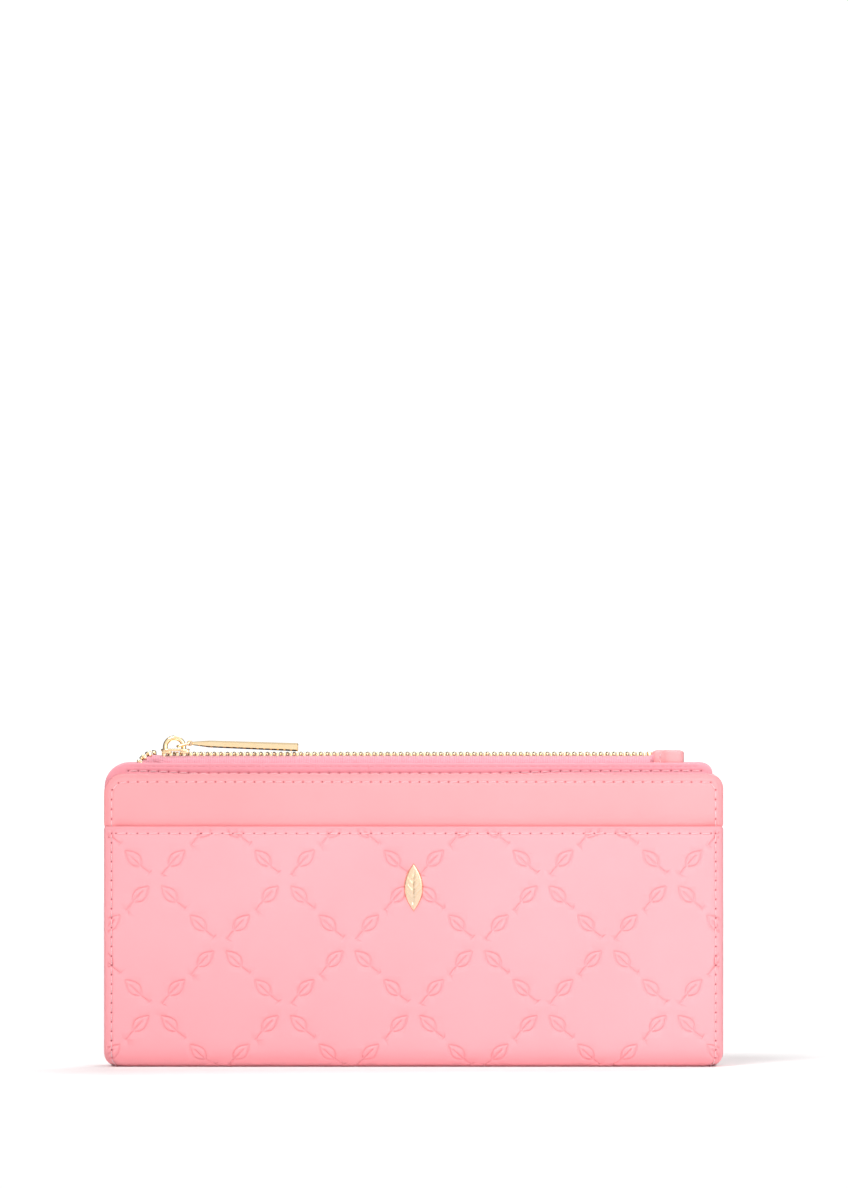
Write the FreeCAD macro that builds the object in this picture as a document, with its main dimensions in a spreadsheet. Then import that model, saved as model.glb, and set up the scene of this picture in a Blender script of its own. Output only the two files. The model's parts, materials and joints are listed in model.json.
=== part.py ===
"""A long zip wallet that opens like a book along its bottom edge, in millimetres.

X runs along the wallet, -Y is the front, Z is up. The wallet stands closed on its spine, with the
origin in the middle of its base. The front cover and the back hinge on the spine and share one strip
of leather with it, and the zip pouch is fixed to the inside of the back.
"""
import FreeCAD, Part
import Sketcher
import math
import os

doc = FreeCAD.newDocument("wallet")

# ---------------------------------------------------------------- driving dimensions
SIZES = (
    ("width", 190.0, "cover, end to end"),
    ("depth", 20.0, "badge to back panel"),
    ("cover_top", 90.3, "height of both covers"),
    ("pouch_top", 93.6, "height of the pouch walls"),
    ("pouch_right", 92.2, "right end of the pouch walls, inside the cover's end"),
    ("pocket_top", 74.1, "mouth of the front slip pocket"),
    ("panel_foot", 1.6, "lowest edge of the leather panels, over the bends"),
    ("leaf_foot", 3.0, "lowest edge of the inner layers"),
    ("cover_radius", 4.6, "top corners of the covers"),
    ("cover_left_radius", 6.0, "top left corner of the covers"),
    ("pouch_left_radius", 7.4, "top left corner of the pouch walls"),
    ("pouch_right_radius", 3.4, "top right corner of the pouch walls"),
    ("foot_radius", 2.0, "bottom corners of the panels"),
    ("skin", 0.85, "outer leather"),
    ("board_thick", 0.95, "stiffening boards"),
    ("card_thick", 0.4, "card pocket leather"),
    ("lining_thick", 0.35, "lining cloth"),
    ("air", 0.05, "gap between layers that lie on each other"),
    ("badge_thick", 0.9, "badge plate"),
    ("badge_tall", 15.0, "badge plate, tip to tip"),
    ("badge_wide", 6.0, "badge plate, across"),
    ("badge_height", 55.3, "badge centre over the base"),
    ("magnet_radius", 5.0, "both halves of the magnetic catch"),
    ("magnet_height", 77.0, "magnet centre over the base"),
    ("chain_height", 95.9, "middle of the zip teeth"),
    ("chain_back", 3.0, "zip centre line behind the wallet's middle"),
    ("chain_left", -78.0, "where the teeth start to bend down"),
    ("chain_right", 71.6, "last tooth"),
    ("tooth_pitch", 2.06, "one row"),
    ("tooth_thick", 0.95, "along the zip"),
    ("tooth_tall", 1.9, "top to bottom"),
    ("tooth_reach", 2.25, "centre line to a tooth's outer end"),
    ("tape_thick", 0.4, "zip tape"),
    ("tape_span", 4.1, "centre line to the hanging part of a tape"),
    ("tape_foot", 84.5, "lower edge of the tapes"),
    ("lining_top", 84.0, "upper edge of the pouch lining and boards"),
    ("slider_length", 8.9, "slider body"),
    ("slider_half", 3.3, "slider body, half its width"),
    ("slider_plate", 0.7, "slider plates"),
    ("slider_left", -78.1, "slider body at rest"),
    ("crown_radius", 2.85, "slider crown, bend of its wire"),
    ("crown_wire", 0.75, "slider crown, wire radius"),
    ("crown_lift", 0.55, "straight foot under the crown's bend"),
    ("ring_wire", 0.4, "pull ring, wire radius"),
    ("ring_inner", 1.0, "crown centre to the ring's near bar"),
    ("ring_outer", 4.9, "crown centre to the ring's far bar"),
    ("ring_half", 1.5, "ring, half its width between wire centres"),
    ("ring_angle", 14.0, "ring at rest, degrees over the level"),
    ("puller_length", 33.5, "eye to far end"),
    ("puller_tall", 2.5, "puller bar at its far end"),
    ("puller_eye", 0.9, "outer radius of the puller's eye"),
    ("puller_bore", 0.48, "hole radius of the puller's eye"),
    ("tab_left", 74.2, "leather tab over the zip's end"),
    ("tab_right", 83.5, "its fold"),
    ("tab_top", 96.95, "its upper edge"),
    ("tab_foot", 90.0, "its lower edge"),
    ("tab_half", 3.35, "half its width at the loop"),
    ("thread", 0.3, "sewing thread"),
)
sheet = doc.addObject("Spreadsheet::Sheet", "dims")
for row, (alias, value, note) in enumerate(SIZES, start=1):
    sheet.set(f"A{row}", note)
    sheet.set(f"B{row}", str(value))
    sheet.setAlias(f"B{row}", alias)
doc.recompute()


def size(alias):
    """A driving dimension as a number, for shapes made in code."""
    return float(sheet.get(alias))


def cells(text):
    """An expression on the sheet: names written @name become its cells."""
    return text.replace("@", "dims.")


# ---------------------------------------------------------------- layers, front to back
# Each layer's front face and thickness, as expressions on the sheet.
FRONT = "(-@depth / 2 + @badge_thick)"
BACK = "(@depth / 2)"
LEFT = "(-@width / 2)"
RIGHT = "(@width / 2)"
POCKET_SLACK = 0.4
BAND_FRONT = f"({FRONT} + @skin + {POCKET_SLACK})"
COVER_BOARD_FRONT = f"({BAND_FRONT} + @skin + @air)"
COVER_LINING_FRONT = f"({COVER_BOARD_FRONT} + @board_thick + @air)"
COVER_CARD_FRONT = f"({COVER_LINING_FRONT} + @lining_thick + @air)"
CARD_STEP = "(@card_thick + @air)"
LEAF_CARD_FRONT = -3.9
LEAF_FRONT = -1.95
LEAF_THICK = 0.5
LEAF_BOARD_FRONT = -1.35
LEAF_BOARD_THICK = 0.5
POUCH_LINING_FRONT = -0.82
POUCH_LINING_BACK = 6.95
POUCH_BACK_FRONT = 7.4
POUCH_BACK_THICK = 0.35
BACK_BOARD_FRONT = f"({BACK} - @skin - @air - @board_thick)"
CARD_SLOTS = 4
CARD_SLOT_STEP = 12.0
CARD_SLOT_LOWEST = 34.0
CENTRE_GAP = 3.0

# ---------------------------------------------------------------- seams: distance in from an edge
SEAM_TOP = 2.6
SEAM_SIDE = 2.0
SEAM_POCKET = 2.2
SEAM_WIDE = 0.45
SEAM_PLAY = 0.03
seam_left = f"({LEFT} + {SEAM_SIDE})"
seam_right = f"({RIGHT} - {SEAM_SIDE})"
seam_height = f"(@cover_top - {SEAM_TOP})"
side_seam_foot = "(@panel_foot + @foot_radius)"
side_seam_top = "(@cover_top - @cover_left_radius)"
top_seam_left = f"({LEFT} + @cover_left_radius)"
top_seam_right = f"({RIGHT} - @cover_radius)"


def origin_plane(body, role):
    """One of the body's own three planes."""
    return next(f for f in body.Origin.OriginFeatures if f.Role == role)


def new_body(name):
    body = doc.addObject("PartDesign::Body", name)
    body.Label = name
    return body


def new_sketch(body, name, role):
    sketch = body.newObject("Sketcher::SketchObject", name)
    sketch.AttachmentSupport = [(origin_plane(body, role), "")]
    sketch.MapMode = "FlatFace"
    return sketch


def draw_outline(sketch, points):
    """Closed straight outline. points are pairs of expressions, each held from the sketch's origin."""
    count = len(points)
    plain = [tuple(value_of(v) for v in pair) for pair in points]
    for index in range(count):
        start = FreeCAD.Vector(*plain[index], 0)
        end = FreeCAD.Vector(*plain[(index + 1) % count], 0)
        sketch.addGeometry(Part.LineSegment(start, end), False)
    for index in range(count):
        sketch.addConstraint(Sketcher.Constraint("Coincident", index, 2, (index + 1) % count, 1))
    for index, pair in enumerate(points):
        for kind, text, number in zip(("DistanceX", "DistanceY"), pair, plain[index]):
            place = sketch.addConstraint(Sketcher.Constraint(kind, -1, 1, index, 1, number))
            sketch.setExpression(f"Constraints[{place}]", cells(str(text)))


def value_of(text):
    """The number that an expression on the sheet gives."""
    return float(sheet.evalExpression(cells(str(text))))


def pad(body, sketch, length, midplane=False):
    feature = body.newObject("PartDesign::Pad", f"{body.Name}_pad")
    feature.Profile = sketch
    feature.setExpression("Length", cells(str(length)))
    if midplane:
        feature.SideType = "Symmetric"
    sketch.Visibility = False
    return feature


def cut_hole(body, name, role, centre, radius):
    """Round hole right through the body, along the normal of one of its planes."""
    sketch = new_sketch(body, name, role)
    middle = [value_of(v) for v in centre]
    circle = Part.Circle(FreeCAD.Vector(*middle, 0), FreeCAD.Vector(0, 0, 1), value_of(radius))
    sketch.addGeometry(circle, False)
    for kind, text, number in zip(("DistanceX", "DistanceY"), centre, middle):
        place = sketch.addConstraint(Sketcher.Constraint(kind, -1, 1, 0, 3, number))
        sketch.setExpression(f"Constraints[{place}]", cells(str(text)))
    place = sketch.addConstraint(Sketcher.Constraint("Radius", 0, value_of(radius)))
    sketch.setExpression(f"Constraints[{place}]", cells(str(radius)))
    pocket = body.newObject("PartDesign::Pocket", f"{name}_cut")
    pocket.Profile = sketch
    pocket.Type = "ThroughAll"
    pocket.SideType = "Symmetric"
    return pocket


def round_corner(body, x, z, radius):
    """Fillet of the edge that runs along Y at one corner of a plate."""
    doc.recompute()
    base = body.Tip
    at = (value_of(x), value_of(z))
    for index, edge in enumerate(base.Shape.Edges, start=1):
        middle = edge.CenterOfMass
        across = abs(edge.tangentAt(edge.FirstParameter).y) > 0.99
        if across and abs(middle.x - at[0]) < 0.01 and abs(middle.z - at[1]) < 0.01:
            fillet = body.newObject("PartDesign::Fillet", f"{body.Name}_round")
            fillet.Base = (base, [f"Edge{index}"])
            fillet.setExpression("Radius", cells(str(radius)))
            return
    raise RuntimeError(f"{body.Label}: no corner at {at}")


def plate(name, left, right, foot, top, front, thick, corners=()):
    """Upright sheet. corners are (x, z, radius) of the corners that are rounded."""
    body = new_body(name)
    sketch = new_sketch(body, f"{name}_outline", "XZ_Plane")
    draw_outline(sketch, ((left, foot), (right, foot), (right, top), (left, top)))
    pad(body, sketch, thick)
    for x, z, radius in corners:
        round_corner(body, x, z, radius)
    body.setExpression("Placement.Base.y", cells(f"{front} + {thick}"))
    return body


def both_foot_corners(left, right, foot):
    return ((left, foot, "@foot_radius"), (right, foot, "@foot_radius"))


def block(name, x0, x1, y0, y1, z0, z1):
    """Box between six expressions."""
    box = doc.addObject("Part::Box", name)
    box.Label = name
    for key, low, high in (("Length", x0, x1), ("Width", y0, y1), ("Height", z0, z1)):
        box.setExpression(key, cells(f"({high}) - ({low})"))
    for key, low in (("x", x0), ("y", y0), ("z", z0)):
        box.setExpression(f"Placement.Base.{key}", cells(str(low)))
    return box


def joined(name, pieces):
    """One solid from pieces that meet."""
    fuse = doc.addObject("Part::MultiFuse", name)
    fuse.Label = name
    fuse.Shapes = pieces
    fuse.Refine = True
    return fuse


def group(name, pieces):
    """Separate solids in one sub-part."""
    compound = doc.addObject("Part::Compound", name)
    compound.Label = name
    compound.Links = pieces
    return compound


def disc(name, front, thick, height, radius):
    """Round plate facing the front, in the middle of the wallet."""
    cylinder = doc.addObject("Part::Cylinder", name)
    cylinder.Label = name
    cylinder.setExpression("Radius", cells(radius))
    cylinder.setExpression("Height", cells(thick))
    cylinder.Placement.Rotation = FreeCAD.Rotation(FreeCAD.Vector(1, 0, 0), -90)
    cylinder.setExpression("Placement.Base.y", cells(front))
    cylinder.setExpression("Placement.Base.z", cells(height))
    return cylinder


parts = []

# ---------------------------------------------------------------- front cover
COVER_CORNERS = (
    (LEFT, "@cover_top", "@cover_left_radius"),
    (RIGHT, "@cover_top", "@cover_radius"),
) + both_foot_corners(LEFT, RIGHT, "@panel_foot")
PRONG_RADIUS = 0.5
PRONG_SPREAD = 4.0
PRONG_HEIGHTS = (f"(@badge_height - {PRONG_SPREAD})", f"(@badge_height + {PRONG_SPREAD})")
PRONG_FIT = 0.05
PRONG_HOLE = PRONG_RADIUS + PRONG_FIT

pocket_panel = plate(
    "front_pocket_panel", LEFT, RIGHT, "@panel_foot", "@pocket_top", FRONT, "@skin",
    both_foot_corners(LEFT, RIGHT, "@panel_foot"),
)
for number, prong_height in enumerate(PRONG_HEIGHTS, start=1):
    cut_hole(pocket_panel, f"badge_hole_{number}", "XZ_Plane", ("0", prong_height), PRONG_HOLE)
parts.append(pocket_panel)
parts.append(plate(
    "front_band_panel", LEFT, RIGHT, "@panel_foot", "@cover_top", BAND_FRONT, "@skin", COVER_CORNERS,
))

BOARD_INSET = 2.5
BOARD_LEFT = f"({LEFT} + {BOARD_INSET})"
BOARD_RIGHT = f"({RIGHT} - {BOARD_INSET})"
BOARD_TOP = f"(@cover_top - {BOARD_INSET})"
BOARD_CORNERS = ((BOARD_LEFT, BOARD_TOP, "@cover_radius"), (BOARD_RIGHT, BOARD_TOP, "@cover_radius"))
cover_board = plate(
    "cover_board", BOARD_LEFT, BOARD_RIGHT, "@leaf_foot", BOARD_TOP, COVER_BOARD_FRONT, "@board_thick",
    BOARD_CORNERS,
)
MAGNET_FIT = 0.1
MAGNET_SEAT = f"(@magnet_radius + {MAGNET_FIT})"
cut_hole(cover_board, "cover_magnet_seat", "XZ_Plane", ("0", "@magnet_height"), MAGNET_SEAT)
parts.append(cover_board)
parts.append(disc("cover_magnet", COVER_BOARD_FRONT, "@board_thick", "@magnet_height", "@magnet_radius"))

LINING_INSET = 1.0
LINING_LEFT = f"({LEFT} + {LINING_INSET})"
LINING_RIGHT = f"({RIGHT} - {LINING_INSET})"
LINING_TOP = f"(@cover_top - {LINING_INSET})"
parts.append(plate(
    "cover_lining", LINING_LEFT, LINING_RIGHT, "@leaf_foot", LINING_TOP, COVER_LINING_FRONT, "@lining_thick",
    ((LINING_LEFT, LINING_TOP, "@cover_left_radius"), (LINING_RIGHT, LINING_TOP, "@cover_radius")),
))

# Inside the cover: a long note pocket, and on it a window pocket and two card pockets.
CARD_INSET = 3.0
COLUMN_LEFT = f"({LEFT} + {CARD_INSET})"
COLUMN_RIGHT = f"({RIGHT} - {CARD_INSET})"
MIDDLE_LEFT = -CENTRE_GAP / 2
MIDDLE_RIGHT = CENTRE_GAP / 2
NOTE_POCKET_TOP = 72.0
WINDOW_POCKET_TOP = 60.0
WINDOW_MARGIN = 7.0
parts.append(plate(
    "cover_note_pocket", COLUMN_LEFT, COLUMN_RIGHT, "@leaf_foot", NOTE_POCKET_TOP,
    COVER_CARD_FRONT, "@card_thick",
))
window_front = f"({COVER_CARD_FRONT} + {CARD_STEP})"
window_pocket = plate(
    "cover_window_pocket", COLUMN_LEFT, MIDDLE_LEFT, "@leaf_foot", WINDOW_POCKET_TOP,
    window_front, "@card_thick",
)
window_edges = (
    (f"({COLUMN_LEFT} + {WINDOW_MARGIN})", f"(@leaf_foot + {WINDOW_MARGIN})"),
    (f"({MIDDLE_LEFT} - {WINDOW_MARGIN})", f"(@leaf_foot + {WINDOW_MARGIN})"),
    (f"({MIDDLE_LEFT} - {WINDOW_MARGIN})", f"({WINDOW_POCKET_TOP} - {WINDOW_MARGIN})"),
    (f"({COLUMN_LEFT} + {WINDOW_MARGIN})", f"({WINDOW_POCKET_TOP} - {WINDOW_MARGIN})"),
)
window_sketch = new_sketch(window_pocket, "window_outline", "XZ_Plane")
draw_outline(window_sketch, window_edges)
window_cut = window_pocket.newObject("PartDesign::Pocket", "window_cut")
window_cut.Profile = window_sketch
window_cut.Type = "ThroughAll"
window_cut.SideType = "Symmetric"
parts.append(window_pocket)
FILM_FIT = 0.1
FILM_THICK = 0.25
parts.append(block(
    "cover_window_film",
    f"{window_edges[0][0]} + {FILM_FIT}", f"{window_edges[1][0]} - {FILM_FIT}",
    window_front, f"{window_front} + {FILM_THICK}",
    f"{window_edges[0][1]} + {FILM_FIT}", f"{window_edges[2][1]} - {FILM_FIT}",
))
for slot in (1, 2):
    slot_top = WINDOW_POCKET_TOP - (slot - 1) * CARD_SLOT_STEP
    parts.append(plate(
        f"cover_card_pocket_{slot}", MIDDLE_RIGHT, COLUMN_RIGHT, "@leaf_foot", slot_top,
        f"({COVER_CARD_FRONT} + {slot} * {CARD_STEP})", "@card_thick",
    ))

# Badge: a slim leaf of plate with two prongs, and the washer that they are bent over.
badge = new_body("badge_plate")
badge_sketch = new_sketch(badge, "badge_outline", "XZ_Plane")
half_tall = size("badge_tall") / 2
half_wide = size("badge_wide") / 2
tips = (FreeCAD.Vector(0, -half_tall, 0), FreeCAD.Vector(0, half_tall, 0))
for index, side in enumerate((1, -1)):
    start, end = tips if side > 0 else tips[::-1]
    badge_sketch.addGeometry(Part.Arc(start, FreeCAD.Vector(side * half_wide, 0, 0), end), False)
    radius = badge_sketch.Geometry[index].Radius
    bend = badge_sketch.addConstraint(Sketcher.Constraint("Radius", index, radius))
    badge_sketch.setExpression(
        f"Constraints[{bend}]", cells("((@badge_tall / 2) ^ 2 + (@badge_wide / 2) ^ 2) / @badge_wide"),
    )
badge_sketch.addConstraint(Sketcher.Constraint("Coincident", 0, 2, 1, 1))
badge_sketch.addConstraint(Sketcher.Constraint("Coincident", 1, 2, 0, 1))
for point, height, text in ((1, -half_tall, "-@badge_tall / 2"), (2, half_tall, "@badge_tall / 2")):
    badge_sketch.addConstraint(Sketcher.Constraint("DistanceX", -1, 1, 0, point, 0.0))
    place = badge_sketch.addConstraint(Sketcher.Constraint("DistanceY", -1, 1, 0, point, height))
    badge_sketch.setExpression(f"Constraints[{place}]", cells(text))
pad(badge, badge_sketch, "@badge_thick")
prong_sketch = new_sketch(badge, "badge_prongs", "XZ_Plane")
for index, offset in enumerate((-PRONG_SPREAD, PRONG_SPREAD)):
    prong_centre = FreeCAD.Vector(0, offset, 0)
    prong_sketch.addGeometry(Part.Circle(prong_centre, FreeCAD.Vector(0, 0, 1), PRONG_RADIUS), False)
    prong_sketch.addConstraint(Sketcher.Constraint("Radius", index, PRONG_RADIUS))
    prong_sketch.addConstraint(Sketcher.Constraint("DistanceY", -1, 1, index, 3, offset))
prongs = badge.newObject("PartDesign::Pad", "badge_prong_pad")
prongs.Profile = prong_sketch
prongs.Reversed = True
WASHER_THICK = 0.25
prongs.setExpression("Length", cells(f"@skin + {WASHER_THICK}"))
badge.setExpression("Placement.Base.y", cells(FRONT))
badge.setExpression("Placement.Base.z", cells("@badge_height"))
parts.append(badge)

WASHER_HALF = 2.0
washer = plate(
    "badge_washer", -WASHER_HALF, WASHER_HALF,
    f"({PRONG_HEIGHTS[0]} - {WASHER_HALF})", f"({PRONG_HEIGHTS[1]} + {WASHER_HALF})",
    f"({FRONT} + @skin + {PRONG_FIT})", WASHER_THICK - PRONG_FIT,
)
for number, prong_height in enumerate(PRONG_HEIGHTS, start=1):
    cut_hole(washer, f"washer_hole_{number}", "XZ_Plane", ("0", prong_height), PRONG_HOLE)
parts.append(washer)

# ---------------------------------------------------------------- spine
SPINE_FRONT = -7.6
SPINE_REAR = 8.0
SPINE_SKIN = 1.0
STIFFENER_THICK = 0.6
STIFFENER_FRONT = -3.8
STIFFENER_REAR = 4.4
SPINE_LINING_FRONT = -6.6
SPINE_LINING_REAR = 7.6
spine_panel = block("spine_panel", LEFT, RIGHT, SPINE_FRONT, SPINE_REAR, 0, SPINE_SKIN)
parts.append(spine_panel)
stiffener_foot = f"({SPINE_SKIN} + @air)"
parts.append(block(
    "spine_stiffener", BOARD_LEFT, BOARD_RIGHT, STIFFENER_FRONT, STIFFENER_REAR,
    stiffener_foot, f"{stiffener_foot} + {STIFFENER_THICK}",
))
spine_lining_foot = f"({stiffener_foot} + {STIFFENER_THICK} + @air)"
parts.append(block(
    "spine_lining", LINING_LEFT, LINING_RIGHT, SPINE_LINING_FRONT, SPINE_LINING_REAR,
    spine_lining_foot, f"{spine_lining_foot} + @lining_thick",
))

# ---------------------------------------------------------------- back cover
back_panel = plate(
    "back_panel", LEFT, RIGHT, "@panel_foot", "@cover_top", f"({BACK} - @skin)", "@skin", COVER_CORNERS,
)
# Its sewing lies in grooves, so that the wallet rests flat on its back.
half_groove = SEAM_WIDE / 2 + SEAM_PLAY
LEAST_CUT = 1.0
doc.recompute()
for name, x0, x1, z0, z1 in (
    ("top", f"{top_seam_left} - {SEAM_PLAY}", f"{top_seam_right} + {SEAM_PLAY}",
     f"{seam_height} - {half_groove}", f"{seam_height} + {half_groove}"),
    ("left", f"{seam_left} - {half_groove}", f"{seam_left} + {half_groove}",
     f"{side_seam_foot} - {SEAM_PLAY}", f"{side_seam_top} + {SEAM_PLAY}"),
    ("right", f"{seam_right} - {half_groove}", f"{seam_right} + {half_groove}",
     f"{side_seam_foot} - {SEAM_PLAY}", f"{side_seam_top} + {SEAM_PLAY}"),
):
    groove_sketch = new_sketch(back_panel, f"groove_{name}", "XZ_Plane")
    draw_outline(groove_sketch, ((x0, z0), (x1, z0), (x1, z1), (x0, z1)))
    whole = back_panel.Tip.Shape.Volume
    groove = back_panel.newObject("PartDesign::Pocket", f"groove_{name}_cut")
    groove.Profile = groove_sketch
    groove.setExpression("Length", cells("@thread"))
    groove.Reversed = True
    doc.recompute()
    if back_panel.Tip.Shape.Volume > whole - LEAST_CUT:
        raise RuntimeError(f"groove_{name} cuts nothing")
parts.append(back_panel)
parts.append(plate(
    "back_board", BOARD_LEFT, BOARD_RIGHT, "@leaf_foot", BOARD_TOP, BACK_BOARD_FRONT, "@board_thick",
    BOARD_CORNERS,
))

# ---------------------------------------------------------------- zip pouch
POUCH_CORNERS = (
    (LEFT, "@pouch_top", "@pouch_left_radius"),
    ("@pouch_right", "@pouch_top", "@pouch_right_radius"),
)
parts.append(plate(
    "pouch_front_wall", LEFT, "@pouch_right", "@leaf_foot", "@pouch_top", LEAF_FRONT, LEAF_THICK,
    POUCH_CORNERS,
))
parts.append(plate(
    "pouch_back_wall", LEFT, "@pouch_right", "@leaf_foot", "@pouch_top", POUCH_BACK_FRONT, POUCH_BACK_THICK,
    POUCH_CORNERS,
))
GUSSET_ROOM = 6.0
INNER_LEFT = f"({LEFT} + {GUSSET_ROOM})"
INNER_RIGHT = f"(@pouch_right - {GUSSET_ROOM})"
pouch_board = plate(
    "pouch_board", INNER_LEFT, INNER_RIGHT, "@leaf_foot", "@lining_top", LEAF_BOARD_FRONT, LEAF_BOARD_THICK,
)
cut_hole(pouch_board, "pouch_magnet_seat", "XZ_Plane", ("0", "@magnet_height"), MAGNET_SEAT)
parts.append(pouch_board)
parts.append(disc(
    "pouch_magnet", str(LEAF_BOARD_FRONT), str(LEAF_BOARD_THICK), "@magnet_height", "@magnet_radius",
))
for name, lining_front in (
    ("pouch_lining_front", POUCH_LINING_FRONT),
    ("pouch_lining_back", POUCH_LINING_BACK),
):
    parts.append(plate(
        name, INNER_LEFT, INNER_RIGHT, "@leaf_foot", "@lining_top", lining_front, "@lining_thick",
    ))
FLOOR_GAP = 0.1
parts.append(block(
    "pouch_floor", INNER_LEFT, INNER_RIGHT,
    f"{POUCH_LINING_FRONT} + @lining_thick + {FLOOR_GAP}", POUCH_LINING_BACK - FLOOR_GAP,
    "@leaf_foot", "@leaf_foot + @lining_thick",
))

# The gussets fold inwards between the pouch's two walls.
GUSSET_THICK = 0.4
GUSSET_FOLD = 3.0
GUSSET_EDGE = 1.2
for name, edge, inward in (("gusset_left", LEFT, 1), ("gusset_right", "@pouch_right", -1)):
    gusset = new_body(name)
    gusset_sketch = new_sketch(gusset, f"{name}_outline", "XY_Plane")
    front_y = LEAF_FRONT + LEAF_THICK + FLOOR_GAP
    rear_y = POUCH_BACK_FRONT - FLOOR_GAP
    mid_y = (front_y + rear_y) / 2
    outer = f"({edge} + {inward * GUSSET_EDGE})"
    fold = f"({edge} + {inward * (GUSSET_EDGE + GUSSET_FOLD)})"
    draw_outline(gusset_sketch, (
        (outer, front_y), (f"({outer} + {inward * GUSSET_THICK})", front_y),
        (f"({fold} + {inward * GUSSET_THICK})", mid_y),
        (f"({outer} + {inward * GUSSET_THICK})", rear_y), (outer, rear_y), (fold, mid_y),
    ))
    pad(gusset, gusset_sketch, "@lining_top - @leaf_foot")
    gusset.setExpression("Placement.Base.z", cells("@leaf_foot"))
    parts.append(gusset)

# Card pockets on the pouch's front wall, two columns of overlapping leather strips.
for side, column_left, column_right in (
    ("left", COLUMN_LEFT, MIDDLE_LEFT),
    ("right", MIDDLE_RIGHT, f"(@pouch_right - {CARD_INSET})"),
):
    for slot in range(CARD_SLOTS):
        slot_top = CARD_SLOT_LOWEST + (CARD_SLOTS - 1 - slot) * CARD_SLOT_STEP
        slot_front = f"({LEAF_CARD_FRONT} + {CARD_SLOTS - 1 - slot} * {CARD_STEP})"
        parts.append(plate(
            f"card_pocket_{side}_{slot + 1}", column_left, column_right, "@leaf_foot", slot_top,
            slot_front, "@card_thick",
        ))

# ---------------------------------------------------------------- zip
TAPE_GRIP = 1.25
TAB_GAP = 0.1
tape_top = "(@chain_height + @tape_thick / 2)"
tape_under = "(@chain_height - @tape_thick / 2)"
tape_outside = "(@tape_span + @tape_thick / 2)"
tape_inside = "(@tape_span - @tape_thick / 2)"
for name, side in (("zip_tape_front", -1), ("zip_tape_back", 1)):
    tape = new_body(name)
    tape_sketch = new_sketch(tape, f"{name}_outline", "YZ_Plane")
    draw_outline(tape_sketch, (
        (f"({side} * {TAPE_GRIP})", tape_top),
        (f"({side} * {tape_outside})", tape_top),
        (f"({side} * {tape_outside})", "@tape_foot"),
        (f"({side} * {tape_inside})", "@tape_foot"),
        (f"({side} * {tape_inside})", tape_under),
        (f"({side} * {TAPE_GRIP})", tape_under),
    ))
    pad(tape, tape_sketch, f"@tab_left - {TAB_GAP} - @chain_left")
    tape.setExpression("Placement.Base.x", cells("@chain_left"))
    tape.setExpression("Placement.Base.y", cells("@chain_back"))
    parts.append(tape)

# Teeth: each one grips the tape's edge in a slot, and its head faces the other row's.
POST_HALF = 0.2
POST_GAP = 0.1
HEAD_BEVEL = 0.3
HEAD_TALL = 0.8
FIRST_TOOTH = 0.9
BEND_START = 0.4
SLOT_PLAY = 0.03
BEND_RADIUS = 6.0
BEND_TEETH = 4
SPLAY = 0.9


def tooth(side, x, y_shift, z_drop, lean):
    """One tooth of a row, as a prism along X, leaning by some degrees about Y where the row bends down."""
    reach = size("tooth_reach")
    head = POST_HALF + POST_GAP
    tall = size("tooth_tall") / 2
    slot = size("tape_thick") / 2 + SLOT_PLAY
    slot_end = TAPE_GRIP - SLOT_PLAY
    section = (
        (head, -tall * HEAD_TALL), (head, tall * HEAD_TALL), (head + HEAD_BEVEL, tall), (reach, tall),
        (reach, slot), (slot_end, slot), (slot_end, -slot), (reach, -slot), (reach, -tall),
        (head + HEAD_BEVEL, -tall),
    )
    start = -size("tooth_thick") / 2
    wire = Part.makePolygon([FreeCAD.Vector(start, side * a, b) for a, b in section + section[:1]])
    solid = Part.Face(wire).extrude(FreeCAD.Vector(size("tooth_thick"), 0, 0))
    solid.rotate(FreeCAD.Vector(0, 0, 0), FreeCAD.Vector(0, 1, 0), lean)
    solid.translate(FreeCAD.Vector(x, size("chain_back") + side * y_shift, size("chain_height") - z_drop))
    return solid


def tooth_row(name, side, offset):
    """A straight run of teeth, then a few that part and follow the tape round the bend at the open end."""
    pitch = size("tooth_pitch")
    left = size("chain_left")
    count = int((size("chain_right") - left) / pitch)
    first = left + FIRST_TOOTH + offset
    solids = [tooth(side, first + index * pitch, 0.0, 0.0, 0.0) for index in range(count)]
    for index in range(1, BEND_TEETH + 1):
        turn = index * pitch / BEND_RADIUS
        x = left - BEND_START - BEND_RADIUS * math.sin(turn)
        drop = BEND_RADIUS * (1 - math.cos(turn))
        solids.append(tooth(side, x, SPLAY, drop, -math.degrees(turn)))
    feature = doc.addObject("Part::Feature", name)
    feature.Label = name
    feature.Shape = Part.Compound(solids)
    return feature


parts.append(tooth_row("zip_teeth_front", -1, 0.0))
parts.append(tooth_row("zip_teeth_back", 1, size("tooth_pitch") / 2))

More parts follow.
